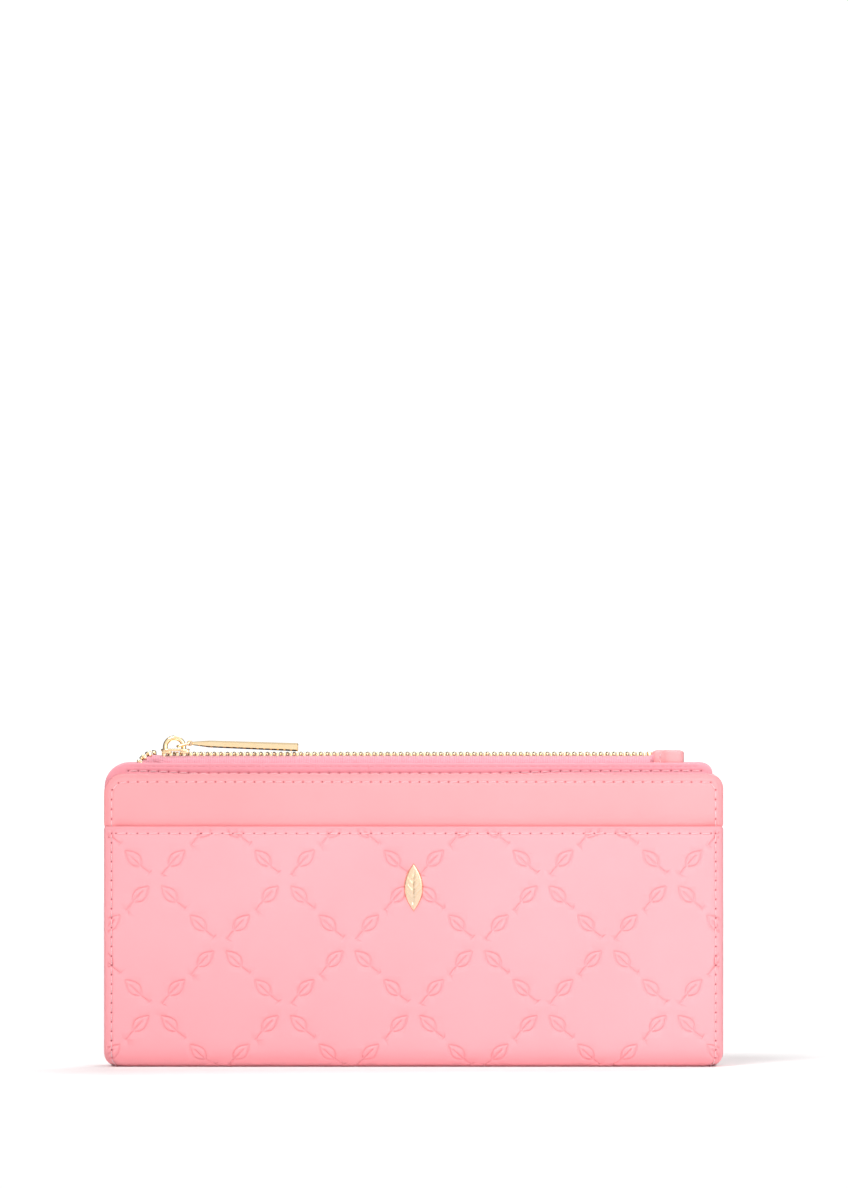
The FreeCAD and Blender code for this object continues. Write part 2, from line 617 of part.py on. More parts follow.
# A stop closes each row at the open end, and one long stop joins both rows at the far end.
STOP_LONG = 1.6
STOP_GAP = 0.4
STOP_INNER = 1.3
STOP_REACH_DOWN = 8.6
for name, side in (("zip_top_stop_front", -1), ("zip_top_stop_back", 1)):
    inner = f"(@chain_back + {side} * ({STOP_INNER} + {SPLAY}))"
    outer = f"(@chain_back + {side} * (@tooth_reach + {SPLAY}))"
    low, high = (outer, inner) if side < 0 else (inner, outer)
    stop_x = f"(@chain_left - 2 * {BEND_START} - {BEND_RADIUS})"
    parts.append(block(
        name, f"{stop_x} - {STOP_LONG / 2}", f"{stop_x} + {STOP_LONG / 2}", low, high,
        f"@chain_height - {STOP_REACH_DOWN}", f"@chain_height - {STOP_REACH_DOWN - STOP_LONG}",
    ))
parts.append(block(
    "zip_bottom_stop", f"@chain_right + {STOP_GAP}", f"@chain_right + {STOP_GAP} + {STOP_LONG}",
    f"@chain_back - {TAPE_GRIP} + @air", f"@chain_back + {TAPE_GRIP} - @air",
    "@chain_height - @tooth_tall / 2", "@chain_height + @tooth_tall / 2",
))

# Leather tab folded over the zip's end. Past its seam it opens into a loop for a strap's clip.
NECK_HALF = 1.4
NECK_LONG = 2.6
NECK_RIGHT = f"(@tab_left + {NECK_LONG})"
LOOP_WALL = 1.0
LOOP_WALL_LEFT = 0.8
tab = new_body("zip_end_tab")
tab_sketch = new_sketch(tab, "tab_outline", "XY_Plane")
draw_outline(tab_sketch, (
    ("@tab_left", -NECK_HALF), (NECK_RIGHT, -NECK_HALF), (NECK_RIGHT, "-@tab_half"),
    ("@tab_right", "-@tab_half"), ("@tab_right", "@tab_half"), (NECK_RIGHT, "@tab_half"),
    (NECK_RIGHT, NECK_HALF), ("@tab_left", NECK_HALF),
))
pad(tab, tab_sketch, "@tab_top - @tab_foot")
loop_sketch = new_sketch(tab, "tab_loop", "XY_Plane")
loop_left = f"({NECK_RIGHT} + {LOOP_WALL_LEFT})"
loop_right = f"(@tab_right - {LOOP_WALL})"
loop_half = f"(@tab_half - {LOOP_WALL})"
draw_outline(loop_sketch, (
    (loop_left, f"-{loop_half}"), (loop_right, f"-{loop_half}"),
    (loop_right, loop_half), (loop_left, loop_half),
))
loop_cut = tab.newObject("PartDesign::Pocket", "tab_loop_cut")
loop_cut.Profile = loop_sketch
loop_cut.Type = "ThroughAll"
loop_cut.SideType = "Symmetric"
doc.recompute()
FOLD_RADIUS = 1.6
fold_edges = [
    f"Edge{index}" for index, edge in enumerate(tab.Tip.Shape.Edges, start=1)
    if abs(edge.tangentAt(edge.FirstParameter).z) > 0.99
    and abs(edge.CenterOfMass.x - size("tab_right")) < 0.01
]
tab_fillet = tab.newObject("PartDesign::Fillet", "tab_fold")
tab_fillet.Base = (loop_cut, fold_edges)
tab_fillet.Radius = FOLD_RADIUS
tab.setExpression("Placement.Base.y", cells("@chain_back"))
tab.setExpression("Placement.Base.z", cells("@tab_foot"))
parts.append(tab)

# ---------------------------------------------------------------- slider, ring and puller
PLATE_PLAY = 0.2
slider_right = "(@slider_left + @slider_length)"
upper_foot = f"(@chain_height + @tooth_tall / 2 + {PLATE_PLAY})"
lower_top = f"(@chain_height - @tooth_tall / 2 - {PLATE_PLAY})"
deck = f"({upper_foot} + @slider_plate)"
FLANGE = 0.6
TAPE_PLAY = 0.2
near = "(@chain_back - @slider_half)"
far = "(@chain_back + @slider_half)"
slot_top = f"(@chain_height + @tape_thick / 2 + {TAPE_PLAY})"
slot_under = f"(@chain_height - @tape_thick / 2 - {TAPE_PLAY})"
POST_INSET = 0.3
POST_LONG = 3.4
post_left = f"(@slider_left + {POST_INSET})"
slider_foot = f"({lower_top} - @slider_plate)"
slider_pieces = [
    block("slider_top_plate", "@slider_left", slider_right, near, far, upper_foot, deck),
    block("slider_base_plate", "@slider_left", slider_right, near, far, slider_foot, lower_top),
    block("slider_post", post_left, f"{post_left} + {POST_LONG}", f"@chain_back - {POST_HALF}",
          f"@chain_back + {POST_HALF}", lower_top, upper_foot),
]
for name, y0, y1 in (
    ("slider_flange_front", near, f"{near} + {FLANGE}"),
    ("slider_flange_back", f"{far} - {FLANGE}", far),
):
    slider_pieces.append(block(f"{name}_upper", "@slider_left", slider_right, y0, y1, slot_top, upper_foot))
    slider_pieces.append(block(f"{name}_lower", "@slider_left", slider_right, y0, y1, lower_top, slot_under))
parts.append(joined("slider_body", slider_pieces))

CROWN_PLACE = 4.2
crown_x = f"(@slider_left + {CROWN_PLACE})"
crown_z = f"({deck} + @crown_lift)"


def half_ring(name, major, minor):
    """Half of a ring of wire, over the XZ plane."""
    torus = doc.addObject("Part::Torus", name)
    torus.setExpression("Radius1", cells(major))
    torus.setExpression("Radius2", cells(minor))
    torus.Angle3 = 180
    torus.Placement.Rotation = FreeCAD.Rotation(FreeCAD.Vector(1, 0, 0), 90)
    return torus


crown_bend = half_ring("crown_bend", "@crown_radius", "@crown_wire")
for key, text in (("x", crown_x), ("y", "@chain_back"), ("z", crown_z)):
    crown_bend.setExpression(f"Placement.Base.{key}", cells(text))
crown_pieces = [crown_bend]
for name, sign in (("crown_foot_left", -1), ("crown_foot_right", 1)):
    leg = doc.addObject("Part::Cylinder", name)
    leg.setExpression("Radius", cells("@crown_wire"))
    leg.setExpression("Height", cells("@crown_lift"))
    leg.setExpression("Placement.Base.x", cells(f"{crown_x} + {sign} * @crown_radius"))
    leg.setExpression("Placement.Base.y", cells("@chain_back"))
    leg.setExpression("Placement.Base.z", cells(deck))
    crown_pieces.append(leg)
parts.append(joined("slider_crown", crown_pieces))


RING_CORNER = 0.8


def ring_shape():
    """Long ring of round wire: two bars along Y joined by two rounded sides, lying in the XY plane."""
    near_bar = size("ring_inner")
    far_bar = size("ring_outer")
    half = size("ring_half")
    corner = RING_CORNER
    corners = ((near_bar, -half), (far_bar, -half), (far_bar, half), (near_bar, half))
    edges = []
    for index, (x, y) in enumerate(corners):
        before = FreeCAD.Vector(*corners[index - 1], 0)
        here = FreeCAD.Vector(x, y, 0)
        after = FreeCAD.Vector(*corners[(index + 1) % len(corners)], 0)
        into = here + (before - here).normalize() * corner
        out = here + (after - here).normalize() * corner
        centre = into + (after - here).normalize() * corner
        middle = centre + (here - centre).normalize() * corner
        edges.append(Part.Arc(into, middle, out).toShape())
        edges.append(Part.LineSegment(out, after + (here - after).normalize() * corner).toShape())
    path = Part.Wire(Part.__sortEdges__(edges))
    start = path.OrderedVertexes[0].Point
    along = path.OrderedEdges[0].tangentAt(path.OrderedEdges[0].FirstParameter)
    profile = Part.Wire(Part.makeCircle(size("ring_wire"), start, along))
    return path.makePipeShell([profile], True, False)


crown_centre = FreeCAD.Vector(value_of(crown_x), size("chain_back"), value_of(crown_z))
ring = doc.addObject("Part::Feature", "pull_ring")
ring.Label = "pull_ring"
ring.Shape = ring_shape()
ring_turn = FreeCAD.Rotation(FreeCAD.Vector(0, 1, 0), -size("ring_angle"))
ring.Placement = FreeCAD.Placement(crown_centre, ring_turn)
parts.append(ring)

# Puller: a slim bar that thins to a flat neck with an eye round the ring's far bar.
tilt = math.radians(size("ring_angle"))
eye = crown_centre + FreeCAD.Vector(math.cos(tilt), 0, math.sin(tilt)) * size("ring_outer")
REST_GAP = 0.15
bar_end = "@puller_length"
bar_half = "(@puller_tall / 2)"
SHOULDER = 6.0
SHOULDER_HALF = 1.05
NECK_THIN = 0.55
puller = new_body("puller_bar")
bar_sketch = new_sketch(puller, "bar_outline", "XZ_Plane")
draw_outline(bar_sketch, (
    (0, -NECK_THIN), (SHOULDER, -SHOULDER_HALF), (bar_end, f"-{bar_half}"),
    (bar_end, bar_half), (SHOULDER, SHOULDER_HALF), (0, NECK_THIN),
))
pad(puller, bar_sketch, "@puller_tall", midplane=True)
neck_sketch = new_sketch(puller, "neck_sides", "XY_Plane")
NECK_WIDE = 0.85
NECK_END = 1.5
CUT_REACH = 2.0
draw_outline(neck_sketch, (
    (-CUT_REACH, NECK_WIDE), (NECK_END, NECK_WIDE), (SHOULDER, CUT_REACH), (-CUT_REACH, CUT_REACH),
))
neck_cut = puller.newObject("PartDesign::Pocket", "neck_cut")
neck_cut.Profile = neck_sketch
neck_cut.Type = "ThroughAll"
neck_cut.SideType = "Symmetric"
neck_mirror = puller.newObject("PartDesign::Mirrored", "neck_mirror")
neck_mirror.Originals = [neck_cut]
neck_mirror.MirrorPlane = (origin_plane(puller, "XZ_Plane"), [""])
puller.Tip = neck_mirror
eye_sketch = new_sketch(puller, "eye_outline", "XZ_Plane")
eye_circle = Part.Circle(FreeCAD.Vector(0, 0, 0), FreeCAD.Vector(0, 0, 1), size("puller_eye"))
eye_sketch.addGeometry(eye_circle, False)
eye_sketch.addConstraint(Sketcher.Constraint("Coincident", 0, 3, -1, 1))
eye_sketch.addConstraint(Sketcher.Constraint("Radius", 0, size("puller_eye")))
eye_sketch.setExpression("Constraints[1]", cells("@puller_eye"))
eye_pad = puller.newObject("PartDesign::Pad", "eye_pad")
eye_pad.Profile = eye_sketch
eye_pad.Length = 2 * NECK_WIDE
eye_pad.SideType = "Symmetric"
puller.Tip = eye_pad
cut_hole(puller, "eye_bore", "XZ_Plane", ("0", "0"), "@puller_bore")
teeth_top = value_of("@chain_height + @tooth_tall / 2")
drop = eye.z - (teeth_top + REST_GAP) - size("puller_tall") / 2
slope = math.degrees(math.asin(drop / size("puller_length")))
puller.Placement = FreeCAD.Placement(eye, FreeCAD.Rotation(FreeCAD.Vector(0, 1, 0), slope))
parts.append(puller)

# ---------------------------------------------------------------- sewing
def level_seam(name, left, right, height, face):
    """Run of thread along X, on the front of a face."""
    half = SEAM_WIDE / 2
    return block(name, left, right, f"{face} - @thread", face, f"{height} - {half}", f"{height} + {half}")


def upright_seam(name, x, foot_z, top_z, face):
    """Run of thread along Z, on the front of a face."""
    half = SEAM_WIDE / 2
    return block(name, f"{x} - {half}", f"{x} + {half}", f"{face} - @thread", face, foot_z, top_z)


SEAM_BREAK = 0.3
SEAM_CLEAR = 1.0
cover_seams = [level_seam("seam_cover_top", top_seam_left, top_seam_right, seam_height, BAND_FRONT)]
for name, x in (("left", seam_left), ("right", seam_right)):
    cover_seams.append(upright_seam(
        f"seam_cover_{name}_upper", x, f"@pocket_top + {SEAM_BREAK}", side_seam_top, BAND_FRONT,
    ))
    cover_seams.append(upright_seam(
        f"seam_cover_{name}_lower", x, side_seam_foot, f"@pocket_top - {SEAM_BREAK}", FRONT,
    ))
parts.append(group("cover_edge_stitching", cover_seams))
parts.append(level_seam(
    "pocket_edge_stitching", f"{seam_left} + {SEAM_CLEAR}", f"{seam_right} - {SEAM_CLEAR}",
    f"(@pocket_top - {SEAM_POCKET})", FRONT,
))
parts.append(level_seam(
    "pouch_edge_stitching", f"{LEFT} + @pouch_left_radius", "@pouch_right - @pouch_right_radius",
    f"(@pouch_top - {SEAM_TOP})", str(LEAF_FRONT),
))
back_seams = [level_seam("seam_back_top", top_seam_left, top_seam_right, seam_height, BACK)]
for name, x in (("left", seam_left), ("right", seam_right)):
    back_seams.append(upright_seam(f"seam_back_{name}", x, side_seam_foot, side_seam_top, BACK))
parts.append(group("back_edge_stitching", back_seams))
parts.append(upright_seam(
    "card_column_stitching", "0", "@leaf_foot", f"{CARD_SLOT_LOWEST} + {(CARD_SLOTS - 1) * CARD_SLOT_STEP}",
    str(LEAF_FRONT),
))
TAB_SEAM = 1.6
TAB_SEAM_CLEAR = 0.7
parts.append(upright_seam(
    "tab_stitching", f"(@tab_left + {TAB_SEAM})", f"@tab_foot + {TAB_SEAM_CLEAR}",
    f"@tab_top - {TAB_SEAM_CLEAR}", f"(@chain_back - {NECK_HALF})",
))

# ---------------------------------------------------------------- check and write
doc.recompute()
for item in doc.Objects:
    if "Invalid" in item.State or "Error" in item.State:
        raise RuntimeError(f"{item.Label}: {item.State}")
os.makedirs("parts", exist_ok=True)
for part in parts:
    if part.Shape.isNull() or not part.Shape.isValid():
        raise RuntimeError(f"{part.Label}: bad shape")
    part.Shape.exportStep(f"parts/{part.Label}.step")
    box = part.Shape.BoundBox
    spans = ((box.XMin, box.XMax), (box.YMin, box.YMax), (box.ZMin, box.ZMax))
    reach = ", ".join(f"{axis} {low:.2f}..{high:.2f}" for axis, (low, high) in zip("xyz", spans))
    print(f"{part.Label}: {len(part.Shape.Solids)} solid(s), {part.Shape.Volume:.1f} mm3, {reach}")
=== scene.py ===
"""Looks of the long zip wallet: leather, cloth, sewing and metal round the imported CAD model.

Shapes are worked out in millimetres in the wallet's own frame (X along it, -Y the front, Z up) and
written in metres. A leather panel is drawn flat, as it is cut, in x and in a height that runs on
round the bend, and is then laid on the face that it covers.
"""
import itertools
import json
import math
import bmesh
import bpy
import numpy as np
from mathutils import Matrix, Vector, geometry, kdtree


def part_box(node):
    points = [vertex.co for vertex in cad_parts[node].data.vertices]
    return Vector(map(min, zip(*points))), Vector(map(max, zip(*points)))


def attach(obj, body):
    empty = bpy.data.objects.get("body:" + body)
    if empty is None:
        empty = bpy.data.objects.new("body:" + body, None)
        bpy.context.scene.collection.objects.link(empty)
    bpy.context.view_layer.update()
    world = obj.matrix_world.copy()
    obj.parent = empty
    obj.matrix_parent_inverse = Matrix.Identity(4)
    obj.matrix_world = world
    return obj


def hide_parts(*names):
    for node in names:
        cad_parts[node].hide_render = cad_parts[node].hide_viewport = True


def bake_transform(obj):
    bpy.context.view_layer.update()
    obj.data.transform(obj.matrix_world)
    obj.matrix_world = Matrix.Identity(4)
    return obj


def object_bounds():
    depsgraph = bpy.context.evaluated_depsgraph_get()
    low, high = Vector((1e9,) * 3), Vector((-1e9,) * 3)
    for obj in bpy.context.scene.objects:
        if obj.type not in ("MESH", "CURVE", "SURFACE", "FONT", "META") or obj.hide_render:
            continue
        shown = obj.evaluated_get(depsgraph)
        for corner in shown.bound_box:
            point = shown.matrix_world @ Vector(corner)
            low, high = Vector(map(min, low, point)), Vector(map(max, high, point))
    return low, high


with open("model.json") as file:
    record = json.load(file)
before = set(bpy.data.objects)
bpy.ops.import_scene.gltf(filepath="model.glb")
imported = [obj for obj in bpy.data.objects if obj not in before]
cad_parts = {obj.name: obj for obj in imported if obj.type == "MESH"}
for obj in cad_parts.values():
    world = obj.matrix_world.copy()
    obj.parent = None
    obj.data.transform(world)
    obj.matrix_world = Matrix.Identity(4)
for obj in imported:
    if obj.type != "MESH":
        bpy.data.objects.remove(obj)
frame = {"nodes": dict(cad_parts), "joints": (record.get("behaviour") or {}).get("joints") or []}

cad_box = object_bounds()
MM = 0.001
nodes = frame["nodes"]


def span(node):
    """A CAD node's lowest and highest corners in millimetres."""
    low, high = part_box(node)
    return np.array(low) / MM, np.array(high) / MM


def smooth(value):
    """0 below 0, 1 above 1, and a smooth turn between."""
    value = np.clip(value, 0.0, 1.0)
    return value * value * (3.0 - 2.0 * value)


# ---------------------------------------------------------------- driving sizes, from the frame
POCKET_LOW, POCKET_HIGH = span("front_pocket_panel")
BAND_LOW, BAND_HIGH = span("front_band_panel")
BACK_LOW, BACK_HIGH = span("back_panel")
WALL_LOW, WALL_HIGH = span("pouch_front_wall")
REAR_LOW, REAR_HIGH = span("pouch_back_wall")
LEFT = BAND_LOW[0]
RIGHT = BAND_HIGH[0]
FRONT = POCKET_LOW[1]
BACK = BACK_HIGH[1]
COVER_TOP = BAND_HIGH[2]
MOUTH = POCKET_HIGH[2]
BAND_FACE = BAND_LOW[1]
LINING_FACE = span("cover_lining")[1][1]
BEND = 6.2            # outside radius of the leather where it turns under
REAR_BEND = 5.0
PINCH = 1.7           # the turned edges draw in round the bend
PROUD = 0.35          # the turned edges stand out past the nominal size
SEAM_SIDE = 2.0       # side seams, in from the edge
SEAM_TOP = 2.6        # top seams, under the edge
SEAM_MOUTH = 2.2      # seam under the slip pocket's mouth
PITCH_TOP = 3.0
PITCH_MOUTH = 3.27
PITCH_SIDE = 2.9
PITCH_WALL = 3.08

# ---------------------------------------------------------------- camera and light
VIEW_TALL = 365.6     # what the picture's height takes in at the wallet's front
VIEW_X = 3.2
VIEW_Z = 145.6
VIEW_FAR = 3000.0
SENSOR = 24.0
scene = bpy.context.scene


def in_scene(name, data):
    """A new object in the scene."""
    item = bpy.data.objects.new(name, data)
    scene.collection.objects.link(item)
    return item


camera_data = bpy.data.cameras.new("camera")
camera_data.sensor_fit = "VERTICAL"
camera_data.sensor_height = SENSOR
camera_data.lens = SENSOR * VIEW_FAR / VIEW_TALL
camera_data.clip_end = 50.0
scene.camera = in_scene("camera", camera_data)
scene.camera.location = Vector((VIEW_X, FRONT - VIEW_FAR, VIEW_Z)) * MM
scene.camera.rotation_euler = (math.radians(90), 0, 0)
scene.view_settings.view_transform = "Standard"


def lamp(name, kind, power, towards, **settings):
    """A light that shines from a direction."""
    data = bpy.data.lights.new(name, kind)
    data.energy = power
    for key, value in settings.items():
        setattr(data, key, value)
    light = in_scene(name, data)
    light.rotation_euler = Vector(towards).to_track_quat("Z", "Y").to_euler()
    return light


def sun(name, azimuth, height, power, spread):
    """A broad far light; azimuth turns from the front towards the right, in degrees."""
    turn, rise = math.radians(azimuth), math.radians(height)
    towards = (math.sin(turn) * math.cos(rise), -math.cos(turn) * math.cos(rise), math.sin(rise))
    lamp(name, "SUN", power, towards, angle=math.radians(spread))


sun("key", -28, 50, 1.55, 22)
sun("rear", 155, 55, 1.45, 35)
MIDDLE = Vector((0.0, 0.0, 0.05))
SIDE_LAMP = Vector((0.13, -0.30, 0.19))
lamp("side", "AREA", 0.42, SIDE_LAMP - MIDDLE, shape="RECTANGLE", size=0.2, size_y=0.2).location = SIDE_LAMP

SKY = (0.18, 0.44)        # strength behind and in front, as it lights the wallet
MIRROR = (0.18, 1.15)     # the same for what metal and gloss reflect
world = bpy.data.worlds.new("studio")
world.use_nodes = True
scene.world = world
links = world.node_tree.links
make = world.node_tree.nodes.new
facing = make("ShaderNodeVectorMath")
facing.operation = "DOT_PRODUCT"
facing.inputs[1].default_value = Vector((0.28, -0.86, 0.42)).normalized()
links.new(make("ShaderNodeTexCoord").outputs["Generated"], facing.inputs[0])


def sky_light(dim, bright):
    """A background that is brighter in front and above than behind and below."""
    rise = make("ShaderNodeMapRange")
    rise.interpolation_type = "SMOOTHSTEP"
    for key, value in ((1, -0.35), (2, 0.9), (3, dim), (4, bright)):
        rise.inputs[key].default_value = value
    light = make("ShaderNodeBackground")
    light.inputs["Color"].default_value = (1.0, 1.0, 1.0, 1.0)
    links.new(facing.outputs["Value"], rise.inputs[0])
    links.new(rise.outputs[0], light.inputs["Strength"])
    return light.outputs[0]


def either(share, first, second):
    """One background or the other, by the kind of ray."""
    mixed = make("ShaderNodeMixShader")
    for index, source in enumerate((share, first, second)):
        links.new(source, mixed.inputs[index])
    return mixed.outputs[0]


white = world.node_tree.nodes["Background"]
white.inputs["Color"].default_value = (1.0, 1.0, 1.0, 1.0)
white.inputs["Strength"].default_value = 1.1
ray = make("ShaderNodeLightPath").outputs
lighting = either(ray["Is Glossy Ray"], sky_light(*SKY), sky_light(*MIRROR))
shown = either(ray["Is Camera Ray"], lighting, white.outputs[0])
links.new(shown, world.node_tree.nodes["World Output"].inputs[0])


# ---------------------------------------------------------------- materials
def tint(colour, red=1.0, green=None, blue=None):
    """A colour made deeper or paler; one factor, or one for each channel."""
    factors = (red, red if green is None else green, red if blue is None else blue)
    return tuple(min(1.0, c * factor) for c, factor in zip(colour, factors)) + (1.0,)


class Shader:
    """A material on a Principled surface, with short calls for the nodes that feed it."""

    def __init__(self, name, **sockets):
        self.material = bpy.data.materials.new(name)
        self.material.use_nodes = True
        self.tree = self.material.node_tree
        self.surface = self.tree.nodes["Principled BSDF"]
        for key, value in sockets.items():
            self.surface.inputs[key.replace("_", " ")].default_value = value
        self.place = self.tree.nodes.new("ShaderNodeTexCoord").outputs["Object"]

    def node(self, kind, inputs=(), **properties):
        made = self.tree.nodes.new("ShaderNode" + kind)
        for key, value in properties.items():
            setattr(made, key, value)
        for key, value in dict(inputs).items():
            if isinstance(value, bpy.types.NodeSocket):
                self.tree.links.new(value, made.inputs[key])
            else:
                made.inputs[key].default_value = value
        return made

    def feed(self, **sockets):
        for key, value in sockets.items():
            self.tree.links.new(value, self.surface.inputs[key.replace("_", " ")])

    def noise(self, scale, detail=2.0, rough=0.5, vector=None):
        inputs = {"Vector": vector or self.place, "Scale": scale, "Detail": detail, "Roughness": rough}
        return self.node("TexNoise", inputs).outputs[0]

    def wave(self, scale, distortion, axis="X", lean=0.0, **inputs):
        """Ribs across an axis, leaned over by some degrees."""
        turned = {"Vector": self.place, "Rotation": (0.0, math.radians(lean), 0.0)}
        vector = self.node("Mapping", turned).outputs[0] if lean else self.place
        inputs = {"Vector": vector, "Scale": scale, "Distortion": distortion, **inputs}
        return self.node("TexWave", inputs, bands_direction=axis).outputs["Fac"]

    def range(self, value, low, high, to_low, to_high):
        return self.node("MapRange", {"Value": value, 1: low, 2: high, 3: to_low, 4: to_high}).outputs[0]

    def mix(self, factor, first, second):
        return self.node("Mix", {0: factor, 6: first, 7: second}, data_type="RGBA").outputs[2]

    def maths(self, operation, first, second):
        return self.node("Math", {0: first, 1: second}, operation=operation).outputs[0]

    def bump(self, height, distance, **inputs):
        return self.node("Bump", {"Height": height, "Distance": distance, **inputs}).outputs[0]


# The colour that painted shade mixes towards, in holes, pressed lines and turned edges.
PAINTED_SHADE_COLOUR = (0.36, 0.1, 0.12, 1.0)


def leather(name, colour, rough, grain, coat):
    """Coated leather: fine pebbled grain, faint clouding, and glossier where it is pressed; painted shade darkens
    its holes, pressed lines and turned edges.
    """
    shader = Shader(name, Coat_Weight=coat, Coat_Roughness=0.32, Specular_IOR_Level=0.26, Sheen_Weight=0.02)
    cloud = shader.range(shader.noise(22.0, 3.0), 0.3, 0.7, 0.0, 1.0)
    painted_shade = shader.node("Attribute", attribute_name="painted_shade").outputs["Fac"]
    cells = {"Vector": shader.place, "Scale": 2100.0}
    pebble = shader.node("TexVoronoi", cells, feature="DISTANCE_TO_EDGE").outputs["Distance"]
    fine = shader.bump(shader.noise(5200.0, 3.0, 0.6), grain * 0.35)
    dull = shader.range(shader.noise(260.0, 4.0, 0.6), 0.25, 0.75, rough - 0.05, rough + 0.07)
    shader.feed(Base_Color=shader.mix(painted_shade, shader.mix(cloud, tint(colour, 0.965), tint(colour, 1.035)), PAINTED_SHADE_COLOUR),
                Roughness=shader.maths("SUBTRACT", dull, shader.maths("MULTIPLY", painted_shade, 0.08)),
                Normal=shader.bump(pebble, grain, Strength=0.8, Normal=fine))
    return shader.material


def twill(name, colour):
    """Fine woven cloth with diagonal ribs."""
    shader = Shader(name, Sheen_Weight=0.25, Sheen_Roughness=0.4, Specular_IOR_Level=0.2)
    ribs = shader.wave(420.0, 0.6, lean=35, Detail=1.0)
    cloud = shader.noise(60.0, 3.0)
    deeper = tint(colour, 0.82)
    base = shader.mix(shader.range(ribs, 0.0, 1.0, 0.25, 1.0), deeper, tint(colour))
    shader.feed(Base_Color=shader.mix(shader.range(cloud, 0.3, 0.7, 0.0, 0.25), base, deeper),
                Roughness=shader.range(cloud, 0.2, 0.8, 0.8, 0.9), Normal=shader.bump(ribs, 0.00006))
    return shader.material


def woven_tape(name, colour, rib_pitch):
    """Zip tape: upright ribs crossed by finer weft."""
    shader = Shader(name, Sheen_Weight=0.3, Sheen_Roughness=0.35, Specular_IOR_Level=0.25)
    scale = math.tau / (20.0 * rib_pitch * MM)
    ribs = shader.wave(scale, 0.4, Detail=1.0)
    weft = shader.wave(scale * 1.6, 0.3, axis="Z")
    weave = shader.maths("MULTIPLY", ribs, shader.range(weft, 0.0, 1.0, 0.7, 1.0))
    speckle = shader.range(shader.noise(900.0, 3.0, 0.7), 0.3, 0.7, -0.12, 0.12)
    factor = shader.maths("ADD", shader.range(weave, 0.0, 0.9, 0.35, 1.0), speckle)
    shader.feed(Base_Color=shader.mix(factor, tint(colour, 0.72), tint(colour)),
                Roughness=shader.range(weave, 0.0, 1.0, 0.9, 0.7), Normal=shader.bump(weave, 0.00008))
    return shader.material


def sewing_thread(name, colour):
    """Spun thread, two plies laid round each other."""
    shader = Shader(name, Sheen_Weight=0.2, Specular_IOR_Level=0.35)
    plies = shader.wave(900.0, 0.2, lean=38)
    shader.feed(Base_Color=shader.mix(plies, tint(colour, 0.75), tint(colour)),
                Roughness=shader.range(plies, 0.0, 1.0, 0.7, 0.5), Normal=shader.bump(plies, 0.00005))
    return shader.material


def polished_gold(name, colour, rough):
    """Pale gold plating: near-mirror, with faint smudges and hairline wear."""
    shader = Shader(name, Metallic=1.0)
    smudge = shader.noise(260.0, 3.0)
    drawn = shader.node("Mapping", {"Vector": shader.place, "Scale": (0.15, 1.0, 1.0)}).outputs[0]
    hairs = shader.noise(1400.0, vector=drawn)
    dull = shader.range(smudge, 0.3, 0.7, rough - 0.03, rough + 0.05)
    worn = shader.range(smudge, 0.35, 0.65, 0.0, 0.6)
    shader.feed(Base_Color=shader.mix(worn, tint(colour), tint(colour, 1.0, 0.95, 0.86)),
                Roughness=shader.maths("ADD", dull, shader.range(hairs, 0.55, 0.7, 0.0, 0.04)),
                Normal=shader.bump(hairs, 0.0000015))
    return shader.material


def grey_board(name):
    shader = Shader(name, Roughness=0.9)
    fibres = shader.noise(800.0, 5.0, 0.7)
    shader.feed(Base_Color=shader.mix(fibres, (0.42, 0.35, 0.27, 1.0), (0.68, 0.58, 0.46, 1.0)),
                Normal=shader.bump(fibres, 0.00008))
    return shader.material


def plated_steel(name):
    shader = Shader(name, Metallic=1.0)
    turning = shader.noise(900.0, 3.0, 0.6)
    shader.feed(Base_Color=shader.mix(turning, (0.55, 0.55, 0.57, 1.0), (0.68, 0.68, 0.7, 1.0)),
                Roughness=shader.range(turning, 0.2, 0.8, 0.22, 0.38))
    return shader.material


def clear_film(name):
    shader = Shader(name, Base_Color=(0.97, 0.97, 0.98, 1.0), Alpha=0.22, IOR=1.45)
    ripple = shader.noise(55.0)
    shader.feed(Roughness=shader.range(ripple, 0.3, 0.7, 0.06, 0.16), Normal=shader.bump(ripple, 0.0006))
    return shader.material


# Each finish is a material and the slot that it belongs to.
EMBOSSED = leather("embossed_leather", (0.97, 0.387, 0.423), 0.48, 0.00006, 0.05), "embossed_leather"
PLAIN = leather("plain_leather", (0.97, 0.352, 0.374), 0.42, 0.00004, 0.10), "plain_leather"
# The pouch walls: the same leather as the band, paler, as painted light against the shade they sit in.
LIGHTENED_WALL = leather("wall_leather_painted_light", (0.92, 0.372, 0.435), 0.42, 0.00004, 0.10), "plain_leather"
TAB = leather("tab_leather", (0.96, 0.415, 0.43), 0.42, 0.00004, 0.10), "plain_leather"
CARD = leather("card_leather", (0.95, 0.42, 0.45), 0.5, 0.00004, 0.05), "card_leather"
LINING = twill("lining_twill", (0.86, 0.37, 0.42)), "lining"
TAPE = woven_tape("zip_tape", (0.96, 0.44, 0.52), 0.55), "zip_tape"
THREAD = sewing_thread("thread", (0.98, 0.6, 0.64)), "thread"
GOLD = polished_gold("pale_gold", (0.9, 0.7, 0.44), 0.17), "gold_metal"
BADGE = polished_gold("badge_gold", (0.82, 0.62, 0.45), 0.22), "gold_metal"
FILM = clear_film("clear_film"), "window_film"
BOARD = grey_board("grey_board")
STEEL = plated_steel("plated_steel")


